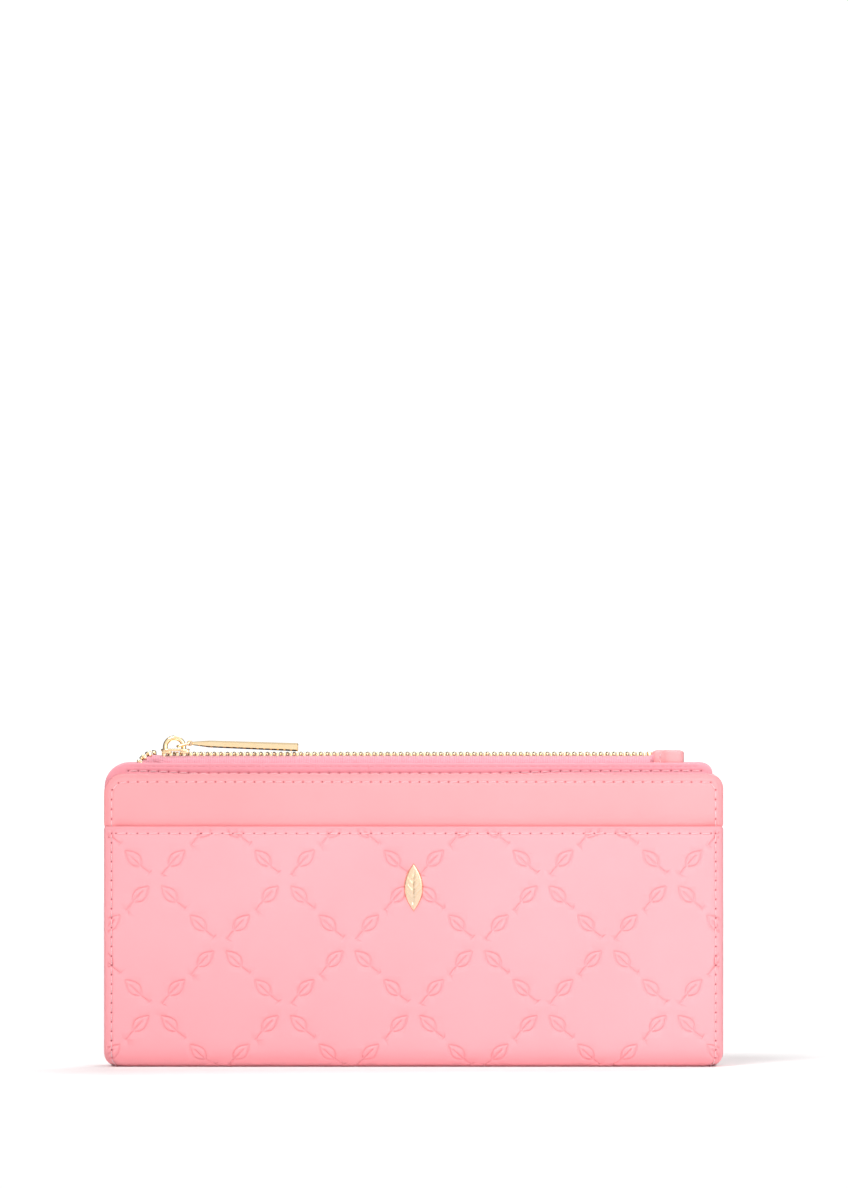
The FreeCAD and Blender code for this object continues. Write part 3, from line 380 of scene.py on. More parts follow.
# ---------------------------------------------------------------- pieces
def mesh_piece(name, points, faces, finish, painted_shade=None, flat=False):
    """A mesh from points in millimetres, in a finish's material."""
    material, slot = finish
    mesh = bpy.data.meshes.new(name)
    mesh.from_pydata((np.asarray(points, float) * MM).tolist(), [], [list(map(int, f)) for f in faces])
    # A mask of painted shade at each point, which the leather reads.
    if painted_shade is not None:
        layer = mesh.attributes.new("painted_shade", "FLOAT", "POINT")
        layer.data.foreach_set("value", np.asarray(painted_shade, np.float32))
    surface = bmesh.new()
    surface.from_mesh(mesh)
    bmesh.ops.remove_doubles(surface, verts=surface.verts[:], dist=0.0001 * MM)
    bmesh.ops.recalc_face_normals(surface, faces=surface.faces)
    surface.to_mesh(mesh)
    surface.free()
    if not flat:
        mesh.shade_smooth()
    mesh.materials.append(material)
    return in_scene(name, mesh)


def skin(rings, sides, closed=False, start=0):
    """Faces over rings of points, with a cap at each end unless the last ring meets the first."""
    faces = []
    for k in range(rings if closed else rings - 1):
        a, b = start + k * sides, start + (k + 1) % rings * sides
        faces += [(a + j, a + (j + 1) % sides, b + (j + 1) % sides, b + j) for j in range(sides)]
    if not closed:
        end = start + (rings - 1) * sides
        faces += [list(range(start, start + sides))[::-1], list(range(end, end + sides))]
    return faces


FRONT_BEND = ("cover", "spine", (0, FRONT, BEND + 0.6), (0, FRONT + BEND + 0.6, 0))
BACK_BEND = ("back", "spine", (0, BACK, REAR_BEND + 0.6), (0, BACK - REAR_BEND - 0.6, 0))


def fit(piece, body, *replaced):
    """Fixes a piece to one body, or, for a piece that runs across a bend, bakes its transform and leaves it free;
    and hides the CAD parts that it replaces.
    """
    if isinstance(body, str):
        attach(piece, body)
    else:
        first, second, start, end = body
        Vector(start) * MM
        Vector(end) * MM
        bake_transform(piece)
    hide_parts(*replaced)


class Flat:
    """A face across y, looking forward (-1) or back (+1)."""

    def __init__(self, y, facing):
        self.y = y
        self.facing = facing

    def place(self, x, w, n):
        return np.stack([x, self.y + self.facing * n, w], axis=1)


class Wrapped:
    """A face that hangs at y, turns under the wallet and runs to its middle."""

    def __init__(self, y, facing, bend, base=0.0, inward=False):
        self.y = y
        self.facing = facing
        self.bend = bend
        self.base = base
        self.side = -1 if inward else 1
        self.centre = y - facing * bend
        self.foot = base + bend - bend * math.pi / 2 - abs(self.centre)

    def place(self, x, w, n):
        spring = self.base + self.bend
        turn = np.clip((spring - w) / self.bend, 0.0, math.pi / 2)
        along = np.maximum(spring - w - self.bend * math.pi / 2, 0.0)
        radius = self.bend + self.side * n
        x = x * (1.0 - PINCH / RIGHT * smooth((turn - 0.35) / 1.2) ** 1.3)
        y = self.centre + self.facing * (radius * np.cos(turn) - along)
        z = spring - radius * np.sin(turn) + np.maximum(w - spring, 0.0)
        return np.stack([x, y, z], axis=1)


RIM_STEPS = 9
RIM_PAINTED_SHADE = 0.16       # painted shade on a turned edge and on the strip outside its seam
HOLE_HEM = 0.6
MESH_ROOM = 0.15       # between a panel's rim and the nearest point of its face


class Outline:
    """A panel's edge: a rectangle with its own radius at each corner, in x and height."""

    def __init__(self, left, right, foot, top, radii, open_foot=False):
        self.left, self.right, self.foot, self.top = left, right, foot, top
        self.open_foot = open_foot
        top_left, top_right, foot_right, foot_left = radii
        self.corners = (
            (left + top_left, top - top_left, top_left, -1, 1),
            (right - top_right, top - top_right, top_right, 1, 1),
            (right - foot_right, foot + foot_right, foot_right, 1, -1),
            (left + foot_left, foot + foot_left, foot_left, -1, -1),
        )[:2 if open_foot else 4]

    def ring(self, step):
        """Points along the edge, clockwise from the left foot, and their outward normals."""
        points, normals = [], []

        def run(start, end, normal):
            count = max(1, round(math.dist(start, end) / step))
            points.extend(start + (end - start) * k / count for k in range(count))
            normals.extend([normal] * count)

        here = np.array((self.left, self.foot + (0 if self.open_foot else self.corners[3][2])))
        for index, (x, w, radius, _, _) in enumerate(self.corners):
            angles = math.radians(180 - 90 * index) - np.arange(9) * math.pi / 16
            outward = np.stack([np.cos(angles), np.sin(angles)], axis=1)
            arc = (x, w) + radius * outward
            run(here, arc[0], outward[0])
            points.extend(arc[:-1])
            normals.extend(outward[:-1])
            here = arc[-1]
        if self.open_foot:
            foot = np.array((self.right, self.foot))
            run(here, foot, (1.0, 0.0))
            points.append(foot)
            normals.append((1.0, 0.0))
        return np.array(points), np.array(normals)

    def depth(self, points):
        """How far inside the edge each point is."""
        x, w = points[:, 0], points[:, 1]
        result = np.minimum(np.minimum(x - self.left, self.right - x), self.top - w)
        if not self.open_foot:
            result = np.minimum(result, w - self.foot)
        for centre_x, centre_w, radius, side, end in self.corners:
            over_x, over_w = (x - centre_x) * side, (w - centre_w) * end
            rounded = radius - np.hypot(over_x, over_w)
            result = np.where((over_x > 0) & (over_w > 0), rounded, result)
        return result

    def inside(self, side, end, step=0.2):
        """A line that follows the edge, further in by one distance at the sides and another at the ends."""
        points, normals = self.ring(step)
        inset = side * normals[:, 0] ** 2 + end * normals[:, 1] ** 2
        return points - inset[:, None] * normals


def spaced(line, pitch):
    """Points along a line at an even pitch close to the one asked for."""
    line = np.asarray(line, float)
    steps = np.hypot(*np.diff(line, axis=0).T)
    run = np.concatenate([[0.0], np.cumsum(steps)])
    stations = np.linspace(0.0, run[-1], max(2, round(run[-1] / pitch) + 1))
    return np.stack([np.interp(stations, run, line[:, 0]), np.interp(stations, run, line[:, 1])], axis=1)


class Groove:
    """Lines or holes pressed into a face: how deep, how wide and how dark the painted shade in them is."""

    def __init__(self, lines, deep, half, shade, holes=False):
        self.lines = lines
        self.deep, self.half, self.shade, self.holes = deep, half, shade, holes
        samples = np.concatenate(lines)
        self.tree = kdtree.KDTree(len(samples))
        for index, (x, w) in enumerate(samples):
            self.tree.insert((x, w, 0.0), index)
        self.tree.balance()

    def press(self, points):
        """Depth and painted shade at each point."""
        away = np.array([self.tree.find((x, w, 0.0))[2] for x, w in points])
        share = 1.0 - smooth(away / self.half)
        return self.deep * share, self.shade * share

    def mesh_points(self):
        """Points that let the mesh follow the pressed shape."""
        out = []
        for line in self.lines:
            out.append(line)
            if self.holes:
                turns = [(reach, math.tau * k / count)
                         for reach, count in ((0.5, 6), (1.0, 8)) for k in range(count)]
                out += [line + np.array([math.cos(a), math.sin(a)]) * reach * self.half for reach, a in turns]
                continue
            along = np.gradient(line, axis=0)
            along /= np.maximum(np.hypot(along[:, 0], along[:, 1]), 1e-9)[:, None]
            across = np.stack([-along[:, 1], along[:, 0]], axis=1)
            out += [line + across * share * self.half for share in (-1.05, -0.66, -0.33, 0.33, 0.66, 1.05)]
        return np.concatenate(out)


def turned_edge(border, outward, first, start_height, thickness, edge, hem, start, closed, mitre=None):
    """Rings of points round a rim and along the hem behind it, and the faces that join them.

    mitre moves the hem's points where a corner is tighter than the hem is wide.
    """
    points, heights, faces = [], [], []
    for k in range(1, RIM_STEPS + 1):
        angle = math.pi * k / RIM_STEPS
        points.append(border + edge * math.sin(angle) * outward)
        heights.append(start_height * (1.0 - k / RIM_STEPS) - thickness * 0.5 * (1.0 - math.cos(angle)))
    for inset, down in ((hem * 0.5, 1.0), (hem, 1.0), (hem + 0.1, 0.8)):
        spots = border - inset * outward
        points.append(mitre(spots, inset) if mitre else spots)
        heights.append(np.zeros(len(border)) - thickness * down)
    previous, loop = first, len(border)
    for _ in points:
        current = range(start, start + loop)
        faces += [(previous[k], current[k], current[(k + 1) % loop], previous[(k + 1) % loop])
                  for k in range(loop if closed else loop - 1)]
        previous, start = current, start + loop
    return points, heights, faces


def mesh_spots(outline, edge, grid, grooves, rings, step):
    """Points over a panel's face, close together where it is pressed or sewn."""
    across = np.arange(outline.left, outline.right, grid)
    up = np.arange(outline.foot, outline.top, grid)
    spots = [groove.mesh_points() for groove in grooves]
    spots += [outline.inside(inset, inset, step) for inset in rings]
    spots.append(np.stack(np.meshgrid(across, up), axis=-1).reshape(-1, 2))
    spots = np.concatenate(spots)
    room = outline.depth(spots) > edge + MESH_ROOM
    if outline.open_foot:
        room &= spots[:, 1] > outline.foot + MESH_ROOM
    spots = spots[room]
    _, first = np.unique(np.round(spots / 0.13), axis=0, return_index=True)
    return spots[np.sort(first)]


def panel(name, outline, face, finish, edge=1.0, thick=1.0, hem=2.4, crown=0.2, grid=3.0,
          grooves=(), rings=(), shape=None, warp=None, step=1.4, hole=None, shoulder=0.0):
    """A panel with its edges turned over: a pressed and crowned face, with painted shade in its grooves, and a
    rounded rim.

    shoulder is how far the face falls away from the seam to the edge; where it is set, that strip and the rim also
    get painted shade.
    """
    ring, normals = outline.ring(step)
    side_edge, end_edge = edge if hasattr(edge, "__len__") else (edge, edge)
    edge = max(side_edge, end_edge)
    edges = (side_edge * normals[:, 0] ** 2 + end_edge * normals[:, 1] ** 2)[:, None]
    border = ring - edges * normals
    loop = len(border)
    closing = np.zeros((0, 2))
    if outline.open_foot:
        run = np.arange(outline.right - edge - grid, outline.left + edge + 0.5, -grid)
        closing = np.stack([run, np.full(len(run), outline.foot)], axis=1)
    inner = mesh_spots(outline, edge, grid, grooves, rings, step)
    parts = [border, closing]
    links = []
    if hole is not None:
        hole_ring, hole_normals = hole.ring(step)
        hole_border = hole_ring + edge * hole_normals
        inner = inner[hole.depth(inner) < -edge - MESH_ROOM]
        start = loop + len(closing)
        links = [(start + k, start + (k + 1) % len(hole_border)) for k in range(len(hole_border))]
        parts.append(hole_border)
    flat = np.concatenate(parts + [inner])
    outer = list(range(loop + len(closing)))
    made = geometry.delaunay_2d_cdt([Vector(p) for p in flat], links, [outer], 1, 1e-5)
    points = np.array([tuple(v) for v in made[0]])
    faces = [list(f) for f in made[2]]
    if hole is not None:
        middles = np.array([points[f].mean(axis=0) for f in faces])
        faces = [f for f, depth in zip(faces, hole.depth(middles)) if depth < -edge]
    came_from = {}
    for index, sources in enumerate(made[3]):
        for source in sources:
            came_from[source] = index

    depth = outline.depth(points)
    height = crown * (1.0 - np.exp(-np.maximum(depth - edge, 0.0) / 5.0))
    slope = 1.0 - smooth((depth - edge) / (SEAM_SIDE - edge)) if shoulder else np.zeros(len(points))
    height = height - shoulder * slope
    # Painted shade on the strip outside the seam, as it falls away to the edge.
    painted_shade = RIM_PAINTED_SHADE * slope
    # Each groove adds painted shade in its hollow.
    for groove in grooves:
        deep, shade = groove.press(points)
        height = height - deep
        painted_shade = np.maximum(painted_shade, shade)
    if shape is not None:
        height = height + shape(points[:, 0], points[:, 1], depth)

    thickness = thick(ring, normals) if callable(thick) else np.full(loop, thick)

    def mitre(spots, inset):
        x = np.clip(spots[:, 0], outline.left + side_edge + inset, outline.right - side_edge - inset)
        low = outline.foot + (0.0 if outline.open_foot else end_edge + inset)
        return np.stack([x, np.clip(spots[:, 1], low, outline.top - end_edge - inset)], axis=1)

    rims = [(0, border, normals, thickness, edges, hem, not outline.open_foot, mitre)]
    if hole is not None:
        rims.append((loop + len(closing), hole_border, -hole_normals, thickness[0], edge, HOLE_HEM, True, None))
    all_points, all_heights = [points], [height]
    for first, rim, outward, deep, turn, lap, closed, shift in rims:
        base = [came_from[first + k] for k in range(len(rim))]
        start = sum(map(len, all_points))
        made = turned_edge(rim, outward, base, height[base], deep, turn, lap, start, closed, shift)
        all_points += made[0]
        all_heights += made[1]
        faces += made[2]
    flat_points = np.concatenate(all_points)
    heights = np.concatenate(all_heights)
    # The rim gets the same painted shade where the face has a shoulder.
    rim_painted_shade = RIM_PAINTED_SHADE if shoulder else 0.0
    painted_shade = np.concatenate([painted_shade, np.full(len(heights) - len(painted_shade), rim_painted_shade)])
    x, w = flat_points[:, 0], flat_points[:, 1]
    if warp is not None:
        x, w, heights = warp(x, w, heights)
    return mesh_piece(name, face.place(x, w, heights), faces, finish, painted_shade)


THREAD_HALF = 0.19
THREAD_RISE = 0.055
THREAD_SIDES = 7
HOLE_SHARE = 0.13      # of each stitch, taken up by the hole at its end


def stitches(name, rows, body, node):
    """Fits threads between holes: each one dips into its holes and leans a little across the seam.

    A row is (holes, face, height of the face there).
    """
    stations = ((0.0, -0.42, 0.7), (0.12, -0.02, 1.0), (0.5, 1.0, 1.0), (0.88, -0.02, 1.0), (1.0, -0.42, 0.7))
    angles = np.arange(THREAD_SIDES) * math.tau / THREAD_SIDES
    points, faces = [], []
    for holes, face, base in rows:
        for here, after in zip(holes[:-1], holes[1:]):
            run = after - here
            along = run / np.hypot(*run)
            across = np.array([-along[1], along[0]])
            faces += skin(len(stations), THREAD_SIDES, start=len(points))
            for share, lift, girth in stations:
                middle = here + run * (HOLE_SHARE + (1 - 2 * HOLE_SHARE) * share) + across * (share - 0.5) * 0.16
                height = base + lift * (THREAD_RISE if lift > 0 else 0.8)
                spots = middle + across * THREAD_HALF * girth * np.cos(angles)[:, None]
                heights = height + THREAD_HALF * girth * np.sin(angles)
                points.extend(face.place(spots[:, 0], spots[:, 1], heights).tolist())
    fit(mesh_piece(name, points, faces, THREAD), body, node)


# ---------------------------------------------------------------- the pressed lattice of leaves
LATTICE = 39.8        # one repeat, both ways
LATTICE_X = 0.0       # centre of a group of four leaves
LATTICE_Z = 57.5
LEAF_START = 2.8      # from the group's centre
LEAF_LONG = 10.0
LEAF_HALF = 1.85
STEM = 3.3
PRESS_DEEP = 0.46
PRESS_HALF = 0.5
# Faint painted shade in the pressed lines.
PRESS_SHADE = 0.035


def leaf_lines():
    """One leaf along its own axis, from the stem's end: stem, two sides and a short midrib."""
    share = np.linspace(0.0, 1.0, 18)
    blade = LEAF_LONG - STEM
    swell = LEAF_HALF * np.sin(np.pi * share ** 0.85)
    along = STEM + blade * share
    rib = np.linspace(0.0, 0.66, 10)
    stem = np.linspace(0.0, 1.0, 8)
    foot = np.linspace(-0.5, 0.5, 4)
    return [
        np.stack([along, swell], axis=1),
        np.stack([along, -swell], axis=1),
        np.stack([STEM + blade * rib, 0.18 * np.sin(np.pi * rib)], axis=1),
        np.stack([STEM * stem, -0.45 * (1.0 - stem) ** 2], axis=1),
        np.stack([0.35 * foot ** 2, foot - 0.45], axis=1),
    ]


def lattice_lines(outline, height_of):
    """The leaves' lines over a panel. height_of turns the pattern's height into the panel's own."""
    lines = []
    for column, row, side, end in itertools.product(range(-6, 7), range(-9, 4), (-1, 1), (-1, 1)):
        if (column + row) % 2:
            continue
        out = np.array([side, end]) / math.sqrt(2)
        axis = out * end
        across = np.array([-axis[1], axis[0]])
        start = np.array([LATTICE_X + column * LATTICE / 2, LATTICE_Z + row * LATTICE / 2])
        start = start + out * (LEAF_START if end > 0 else LEAF_START + LEAF_LONG)
        for line in leaf_lines():
            spots = start + line[:, :1] * axis + line[:, 1:] * across
            spots[:, 1] = height_of(spots[:, 1])
            keep = outline.depth(spots) > 0.9
            if outline.open_foot:
                keep &= spots[:, 1] > outline.foot - 0.6
            if keep.sum() > 1:
                lines.append(spots[keep])
    return lines


# ---------------------------------------------------------------- outer leather
front_face = Wrapped(FRONT, -1, BEND)
back_face = Wrapped(BACK, 1, REAR_BEND)
band_face = Flat(BAND_FACE, -1)

# The slip pocket: embossed, with a folded mouth, sewn to the cover at its sides and turned under it.
pocket_edge = Outline(LEFT - PROUD, RIGHT + PROUD, front_face.foot, MOUTH, (1.0, 1.0, 0, 0), open_foot=True)
COVER_TURN = (1.0, 0.7)      # how far the cover's edges turn, at the sides and at the top
LINING_GAP = 0.15            # between the turned leather and the lining
COVER_THICK = LINING_FACE - FRONT - LINING_GAP
SPINE_THICK = 1.7
LIP_THICK = 1.0


def turned_thickness(leaf, lip):
    """Thickness of a turned edge: the leaf's at the sides, thinner round the spine, and the lip's on top."""
    def thickness(ring, normals):
        round_bend = smooth((ring[:, 1] + 2.0) / (BEND + 4.0))
        sides = SPINE_THICK + (leaf - SPINE_THICK) * round_bend
        return sides * normals[:, 0] ** 2 + lip * normals[:, 1] ** 2
    return thickness


def side_seams(foot, top):
    """Holes up the left and right side seams."""
    return [spaced([(x, foot), (x, top)], PITCH_SIDE) for x in (LEFT + SEAM_SIDE, RIGHT - SEAM_SIDE)]


BADGE_LOW, BADGE_HIGH = span("badge_plate")
BADGE_MIDDLE = (BADGE_LOW + BADGE_HIGH) / 2


def badge_press(x, w, depth):
    """The leather gives a little under the badge, and is drawn in along its sewn sides."""
    near = np.hypot((x - BADGE_MIDDLE[0]) / 4.2, (w - BADGE_MIDDLE[2]) / 8.5)
    sewn = np.exp(-((depth - SEAM_SIDE) / 1.5) ** 2)
    sides = smooth((np.abs(x) - (RIGHT - 6.0)) / 3.0)
    return -0.22 * (1.0 - smooth(near)) - 0.18 * sewn * sides


def sewn(rows):
    """The channel that a seam draws the leather into, and its holes, darkened with painted shade."""
    channels = [spaced(row, 0.9) for row in rows]
    # Painted shade fills the holes.
    holes = Groove(rows, deep=0.45, half=0.42, shade=1.0, holes=True)
    return Groove(channels, deep=0.16, half=0.9, shade=0.0), holes


def pressed(outline, height_of):
    """The pressed lattice over a panel, with faint painted shade in its lines."""
    return Groove(lattice_lines(outline, height_of), PRESS_DEEP, PRESS_HALF, PRESS_SHADE)


MOUTH_ENDS = SEAM_SIDE + 1.4
mouth_row = spaced([(LEFT + MOUTH_ENDS, MOUTH - SEAM_MOUTH), (RIGHT - MOUTH_ENDS, MOUTH - SEAM_MOUTH)], PITCH_MOUTH)
pocket_rows = side_seams(front_face.foot, MOUTH - SEAM_MOUTH) + [mouth_row]
pocket = panel("front_pocket_leather", pocket_edge, front_face, EMBOSSED, edge=(1.2, 0.5),
               thick=turned_thickness(COVER_THICK, LIP_THICK), crown=0.22, grid=2.5,
               grooves=(pressed(pocket_edge, lambda w: w), *sewn(pocket_rows)), rings=(1.4, 1.7, 3.0, 4.2),
               shape=badge_press, shoulder=0.3)
fit(pocket, FRONT_BEND, "front_pocket_panel", "spine_panel")
stitches("pocket_stitching", [(row, front_face, -0.02) for row in pocket_rows], FRONT_BEND,
         "pocket_edge_stitching")

# The plain band above it, which runs on down inside the pocket.
BAND_FOOT = 12.0
TOP_RADII = (6.0, 4.6)       # the cover's corners, left and right
band_edge = Outline(LEFT - PROUD, RIGHT + PROUD, BAND_FOOT, COVER_TOP, (*TOP_RADII, 1.0, 1.0))
TUCK = 1.0
BAND_REAR_IN = 0.35          # the tucked part's rear lies clear of the cover's edge
DIP_TALL = 3.6
DIP_DEEP = 0.78


def tucked(x, w, n):
    """Inside the pocket the band is narrower, and it curves in over the mouth between the side seams."""
    under = smooth((MOUTH - 0.2 - w) / 1.2)
    over_mouth = smooth((MOUTH + DIP_TALL - w) / (DIP_TALL + 0.6)) ** 1.4
    between = smooth((x - LEFT - SEAM_SIDE - 0.3) / 1.4) * smooth((RIGHT - 0.8 - x) / 2.0)
    outer_skin = smooth((n + 1.0) / 0.8)
    sink = np.maximum(0.25 * under, DIP_DEEP * over_mouth * between)
    narrow = TUCK * under * smooth((np.abs(x) - RIGHT + 8.0) / 4.0)
    return x - np.sign(x) * narrow, w, n - sink * outer_skin + BAND_REAR_IN * under * (1.0 - outer_skin)


band_line = band_edge.inside(SEAM_SIDE + PROUD, SEAM_TOP)
band_row = spaced(band_line[band_line[:, 1] > MOUTH - 0.8], PITCH_TOP)
band = panel("front_band_leather", band_edge, band_face, PLAIN, edge=COVER_TURN,
             thick=LINING_FACE - BAND_FACE - LINING_GAP, crown=0.3, grid=2.0,
             grooves=sewn([band_row]), rings=(1.3, 1.6, 3.4, 4.6), warp=tucked, shoulder=0.3)
fit(band, "cover", "front_band_panel")
inner_cover = Flat(LINING_FACE - 0.1, 1)
cover_rows = [(row, inner_cover, 0.0) for row in [band_row] + side_seams(6.0, MOUTH)]
stitches("cover_stitching", [(band_row, band_face, -0.02)] + cover_rows, "cover", "cover_edge_stitching")

# The back: the same sheet goes on round the spine and up.
back_edge = Outline(LEFT - PROUD, RIGHT + PROUD, back_face.foot, COVER_TOP, (*TOP_RADII, 0, 0), open_foot=True)
BACK_THICK = 1.95
back_row = spaced(back_edge.inside(SEAM_SIDE + PROUD, SEAM_TOP), PITCH_TOP)
back_lattice = pressed(back_edge, lambda w: front_face.foot + back_face.foot - w)
rear = panel("back_leather", back_edge, back_face, EMBOSSED, edge=COVER_TURN,
             thick=turned_thickness(BACK_THICK, BACK_THICK), crown=0.0, grid=2.5,
             grooves=(back_lattice, *sewn([back_row])), rings=(1.3, 1.6, 3.0, 4.2), shoulder=0.25)
fit(rear, BACK_BEND, "back_panel", "spine_panel")
stitches("back_stitching", [(back_row, back_face, -0.12)], BACK_BEND, "back_edge_stitching")

# ---------------------------------------------------------------- solid strips, tubes and plates
def thick_sheet(name, grid, thickness, finish):
    """A sheet of some thickness round a grid of points, rounded off at its edges where that thins."""
    grid = np.asarray(grid, float)
    rows, columns = grid.shape[:2]
    normal = np.cross(np.gradient(grid, axis=0), np.gradient(grid, axis=1))
    normal /= np.maximum(np.linalg.norm(normal, axis=2), 1e-9)[:, :, None]
    half = np.broadcast_to(np.asarray(thickness, float), (rows, columns))[:, :, None] / 2
    points = np.concatenate([(grid + normal * half).reshape(-1, 3), (grid - normal * half).reshape(-1, 3)])
    count = rows * columns
    faces = []
    for i in range(rows - 1):
        for j in range(columns - 1):
            a, b = i * columns + j, (i + 1) * columns + j
            faces += [(a, b, b + 1, a + 1), (count + a, count + a + 1, count + b + 1, count + b)]
        for a, b in ((i * columns, (i + 1) * columns), ((i + 2) * columns - 1, (i + 1) * columns - 1)):
            faces.append((a, count + a, count + b, b))
    for j in range(columns - 1):
        a = (rows - 1) * columns + j
        faces += [(j, j + 1, count + j + 1, count + j), (a, count + a, count + a + 1, a + 1)]
    return mesh_piece(name, points, faces, finish)


def tube_mesh(path, radii, sides, closed=False):
    """Points and faces of a tube round a path; its radius is given at each point, across and upright."""
    path = np.asarray(path, float)
    count = len(path)
    along = np.roll(path, -1, axis=0) - np.roll(path, 1, axis=0) if closed else np.gradient(path, axis=0)
    along /= np.linalg.norm(along, axis=1)[:, None]
    plane = np.cross(path[1] - path[0], path[count // 2] - path[0])
    plane /= np.linalg.norm(plane)
    points = []
    for middle, ahead, (wide, tall) in zip(path, along, np.broadcast_to(radii, (count, 2))):
        other = np.cross(ahead, plane)
        for angle in np.arange(sides) * math.tau / sides:
            points.append(middle + plane * wide * math.cos(angle) + other * tall * math.sin(angle))
    return points, skin(count, sides, closed)


def slab_mesh(outline, foot, top, bevel):
    """Points and faces of a plate with rounded edges over an outline in x and y."""
    outline = np.asarray(outline, float)
    along = np.roll(outline, -1, axis=0) - np.roll(outline, 1, axis=0)
    along /= np.linalg.norm(along, axis=1)[:, None]
    outward = np.stack([along[:, 1], -along[:, 0]], axis=1)
    if np.sum((outline - outline.mean(axis=0)) * outward) < 0:
        outward = -outward
    turns = [math.pi / 6 * k for k in range(3, -1, -1)]
    levels = [(foot + bevel * (1 - math.sin(a)), bevel * (1 - math.cos(a))) for a in turns]
    levels += [(top + foot - z, inset) for z, inset in levels[::-1]]
    points = [(x, y, z) for z, inset in levels for x, y in outline - outward * inset]
    return points, skin(len(levels), len(outline))


def rounded(points, times=2):
    """A closed outline with its corners cut again and again until it is smooth."""
    points = np.asarray(points, float)
    for _ in range(times):
        after = np.roll(points, -1, axis=0)
        points = np.stack([0.75 * points + 0.25 * after, 0.25 * points + 0.75 * after], axis=1).reshape(-1, 2)
    return points


def joined_mesh(name, meshes, finish, flat=False):
    """One piece from several (points, faces)."""
    points, faces = [], []
    for some_points, some_faces in meshes:
        faces += [[len(points) + k for k in face] for face in some_faces]
        points += [tuple(p) for p in some_points]
    return mesh_piece(name, points, faces, finish, flat=flat)


def cast(name, meshes, body, node, flat=False):
    """Fits one gold piece from several (points, faces)."""
    fit(joined_mesh(name, meshes, GOLD, flat), body, node)


# ---------------------------------------------------------------- zip pouch
WALL_LEFT, WALL_FRONT, WALL_FOOT = WALL_LOW
WALL_RIGHT, _, WALL_TOP = WALL_HIGH
wall_edge = Outline(WALL_LEFT - PROUD, WALL_RIGHT, WALL_FOOT, WALL_TOP, (7.4, 3.4, 2.0, 2.0))
wall_face = Flat(WALL_FRONT, -1)
rear_wall_face = Flat(REAR_HIGH[1], 1)
# The wall's seam sags by SEAM_SAG between the places where it is held up.
SEAM_SAG = 0.85
SEAM_LINE = ((WALL_LEFT + 7.0, 0.0), (-80.0, 0.1), (-66.0, SEAM_SAG), (24.0, SEAM_SAG), (44.0, 0.1),
             (WALL_RIGHT - 3.5, 0.0))
wall_row = spaced([(x, WALL_TOP - SEAM_TOP - sag) for x, sag in SEAM_LINE], PITCH_WALL)
TICK_LEFT = -62.9
TICK_PITCH = 16.3
TICK_COUNT = 4
tick_lines = [spaced([(x, WALL_TOP - 1.8), (x, WALL_TOP - 0.7)], 0.3)
              for x in TICK_LEFT + TICK_PITCH * np.arange(TICK_COUNT)]
fold_line = spaced([(WALL_LEFT + 8.0, WALL_TOP - 1.3), (WALL_RIGHT - 5.0, WALL_TOP - 1.3)], 0.9)
# The fold line and ticks carry faint painted shade.
wall_grooves = (Groove([fold_line] + tick_lines, 0.08, 0.3, 0.12), *sewn([wall_row]))
for side, face, thick in (("front", wall_face, 1.0), ("back", rear_wall_face, 0.75)):
    wall = panel(f"pouch_{side}_leather", wall_edge, face, LIGHTENED_WALL, edge=0.5, thick=thick, hem=6.0,
                 crown=0.08, grid=4.0, grooves=wall_grooves, rings=(1.0, 1.7, 3.6))
    fit(wall, "back", f"pouch_{side}_wall")
stitches("pouch_stitching", [(wall_row, face, -0.11) for face in (wall_face, rear_wall_face)], "back",
         "pouch_edge_stitching")


# ---------------------------------------------------------------- inner pockets and linings
LAYER_HEM = 1.6
LAYER_RADIUS = 1.2
LAYER_FOLD = 1.9       # the pressed line, under the mouth


def inner_layer(name, node, facing, body, finish=CARD, trim=0.0, hole=None):
    """A thin layer: folded edges, and a pressed line under its mouth, with painted shade in the line."""
    low, high = span(node)
    edge = Outline(low[0] + trim, high[0] - trim, low[2], high[2] - trim, (LAYER_RADIUS, LAYER_RADIUS, 0.4, 0.4))
    face = Flat(low[1] if facing < 0 else high[1], facing)
    line = spaced([(edge.left + 0.8, edge.top - LAYER_FOLD), (edge.right - 0.8, edge.top - LAYER_FOLD)], 0.9)
    piece = panel(name, edge, face, finish, edge=0.22, thick=high[1] - low[1], hem=LAYER_HEM, crown=0.0,
                  grid=6.0, grooves=(Groove([line], 0.14, 0.4, 0.6),), rings=(0.9, 2.0), step=3.0, hole=hole)
    fit(piece, body, node)


for side in ("left", "right"):
    for tier in range(1, 5):
        inner_layer(f"card_slot_{side}_{tier}", f"card_pocket_{side}_{tier}", -1, "back")
for tier in (1, 2):
    inner_layer(f"cover_card_slot_{tier}", f"cover_card_pocket_{tier}", 1, "cover")
inner_layer("cover_note_slot", "cover_note_pocket", 1, "cover")
inner_layer("cover_cloth", "cover_lining", 1, "cover", LINING, trim=1.4)
inner_layer("pouch_cloth_front", "pouch_lining_front", 1, "back", LINING)
inner_layer("pouch_cloth_back", "pouch_lining_back", -1, "back", LINING)
WINDOW = (-85.0, -8.5, 10.0, 53.0)     # left, right, foot and top of the opening
WINDOW_RADIUS = 2.5
inner_layer("cover_window_frame", "cover_window_pocket", 1, "cover", hole=Outline(*WINDOW, [WINDOW_RADIUS] * 4))
FILM_LOW, FILM_HIGH = span("cover_window_film")
film_y = (FILM_LOW[1] + FILM_HIGH[1]) / 2
film_grid = [[(x, film_y + 0.03 * math.sin(x / 9.0) * math.sin(z / 7.0), z)
              for z in np.linspace(FILM_LOW[2], FILM_HIGH[2], 14)]
             for x in np.linspace(FILM_LOW[0], FILM_HIGH[0], 24)]
fit(thick_sheet("window_film", film_grid, 0.12, FILM), "cover", "cover_window_film")

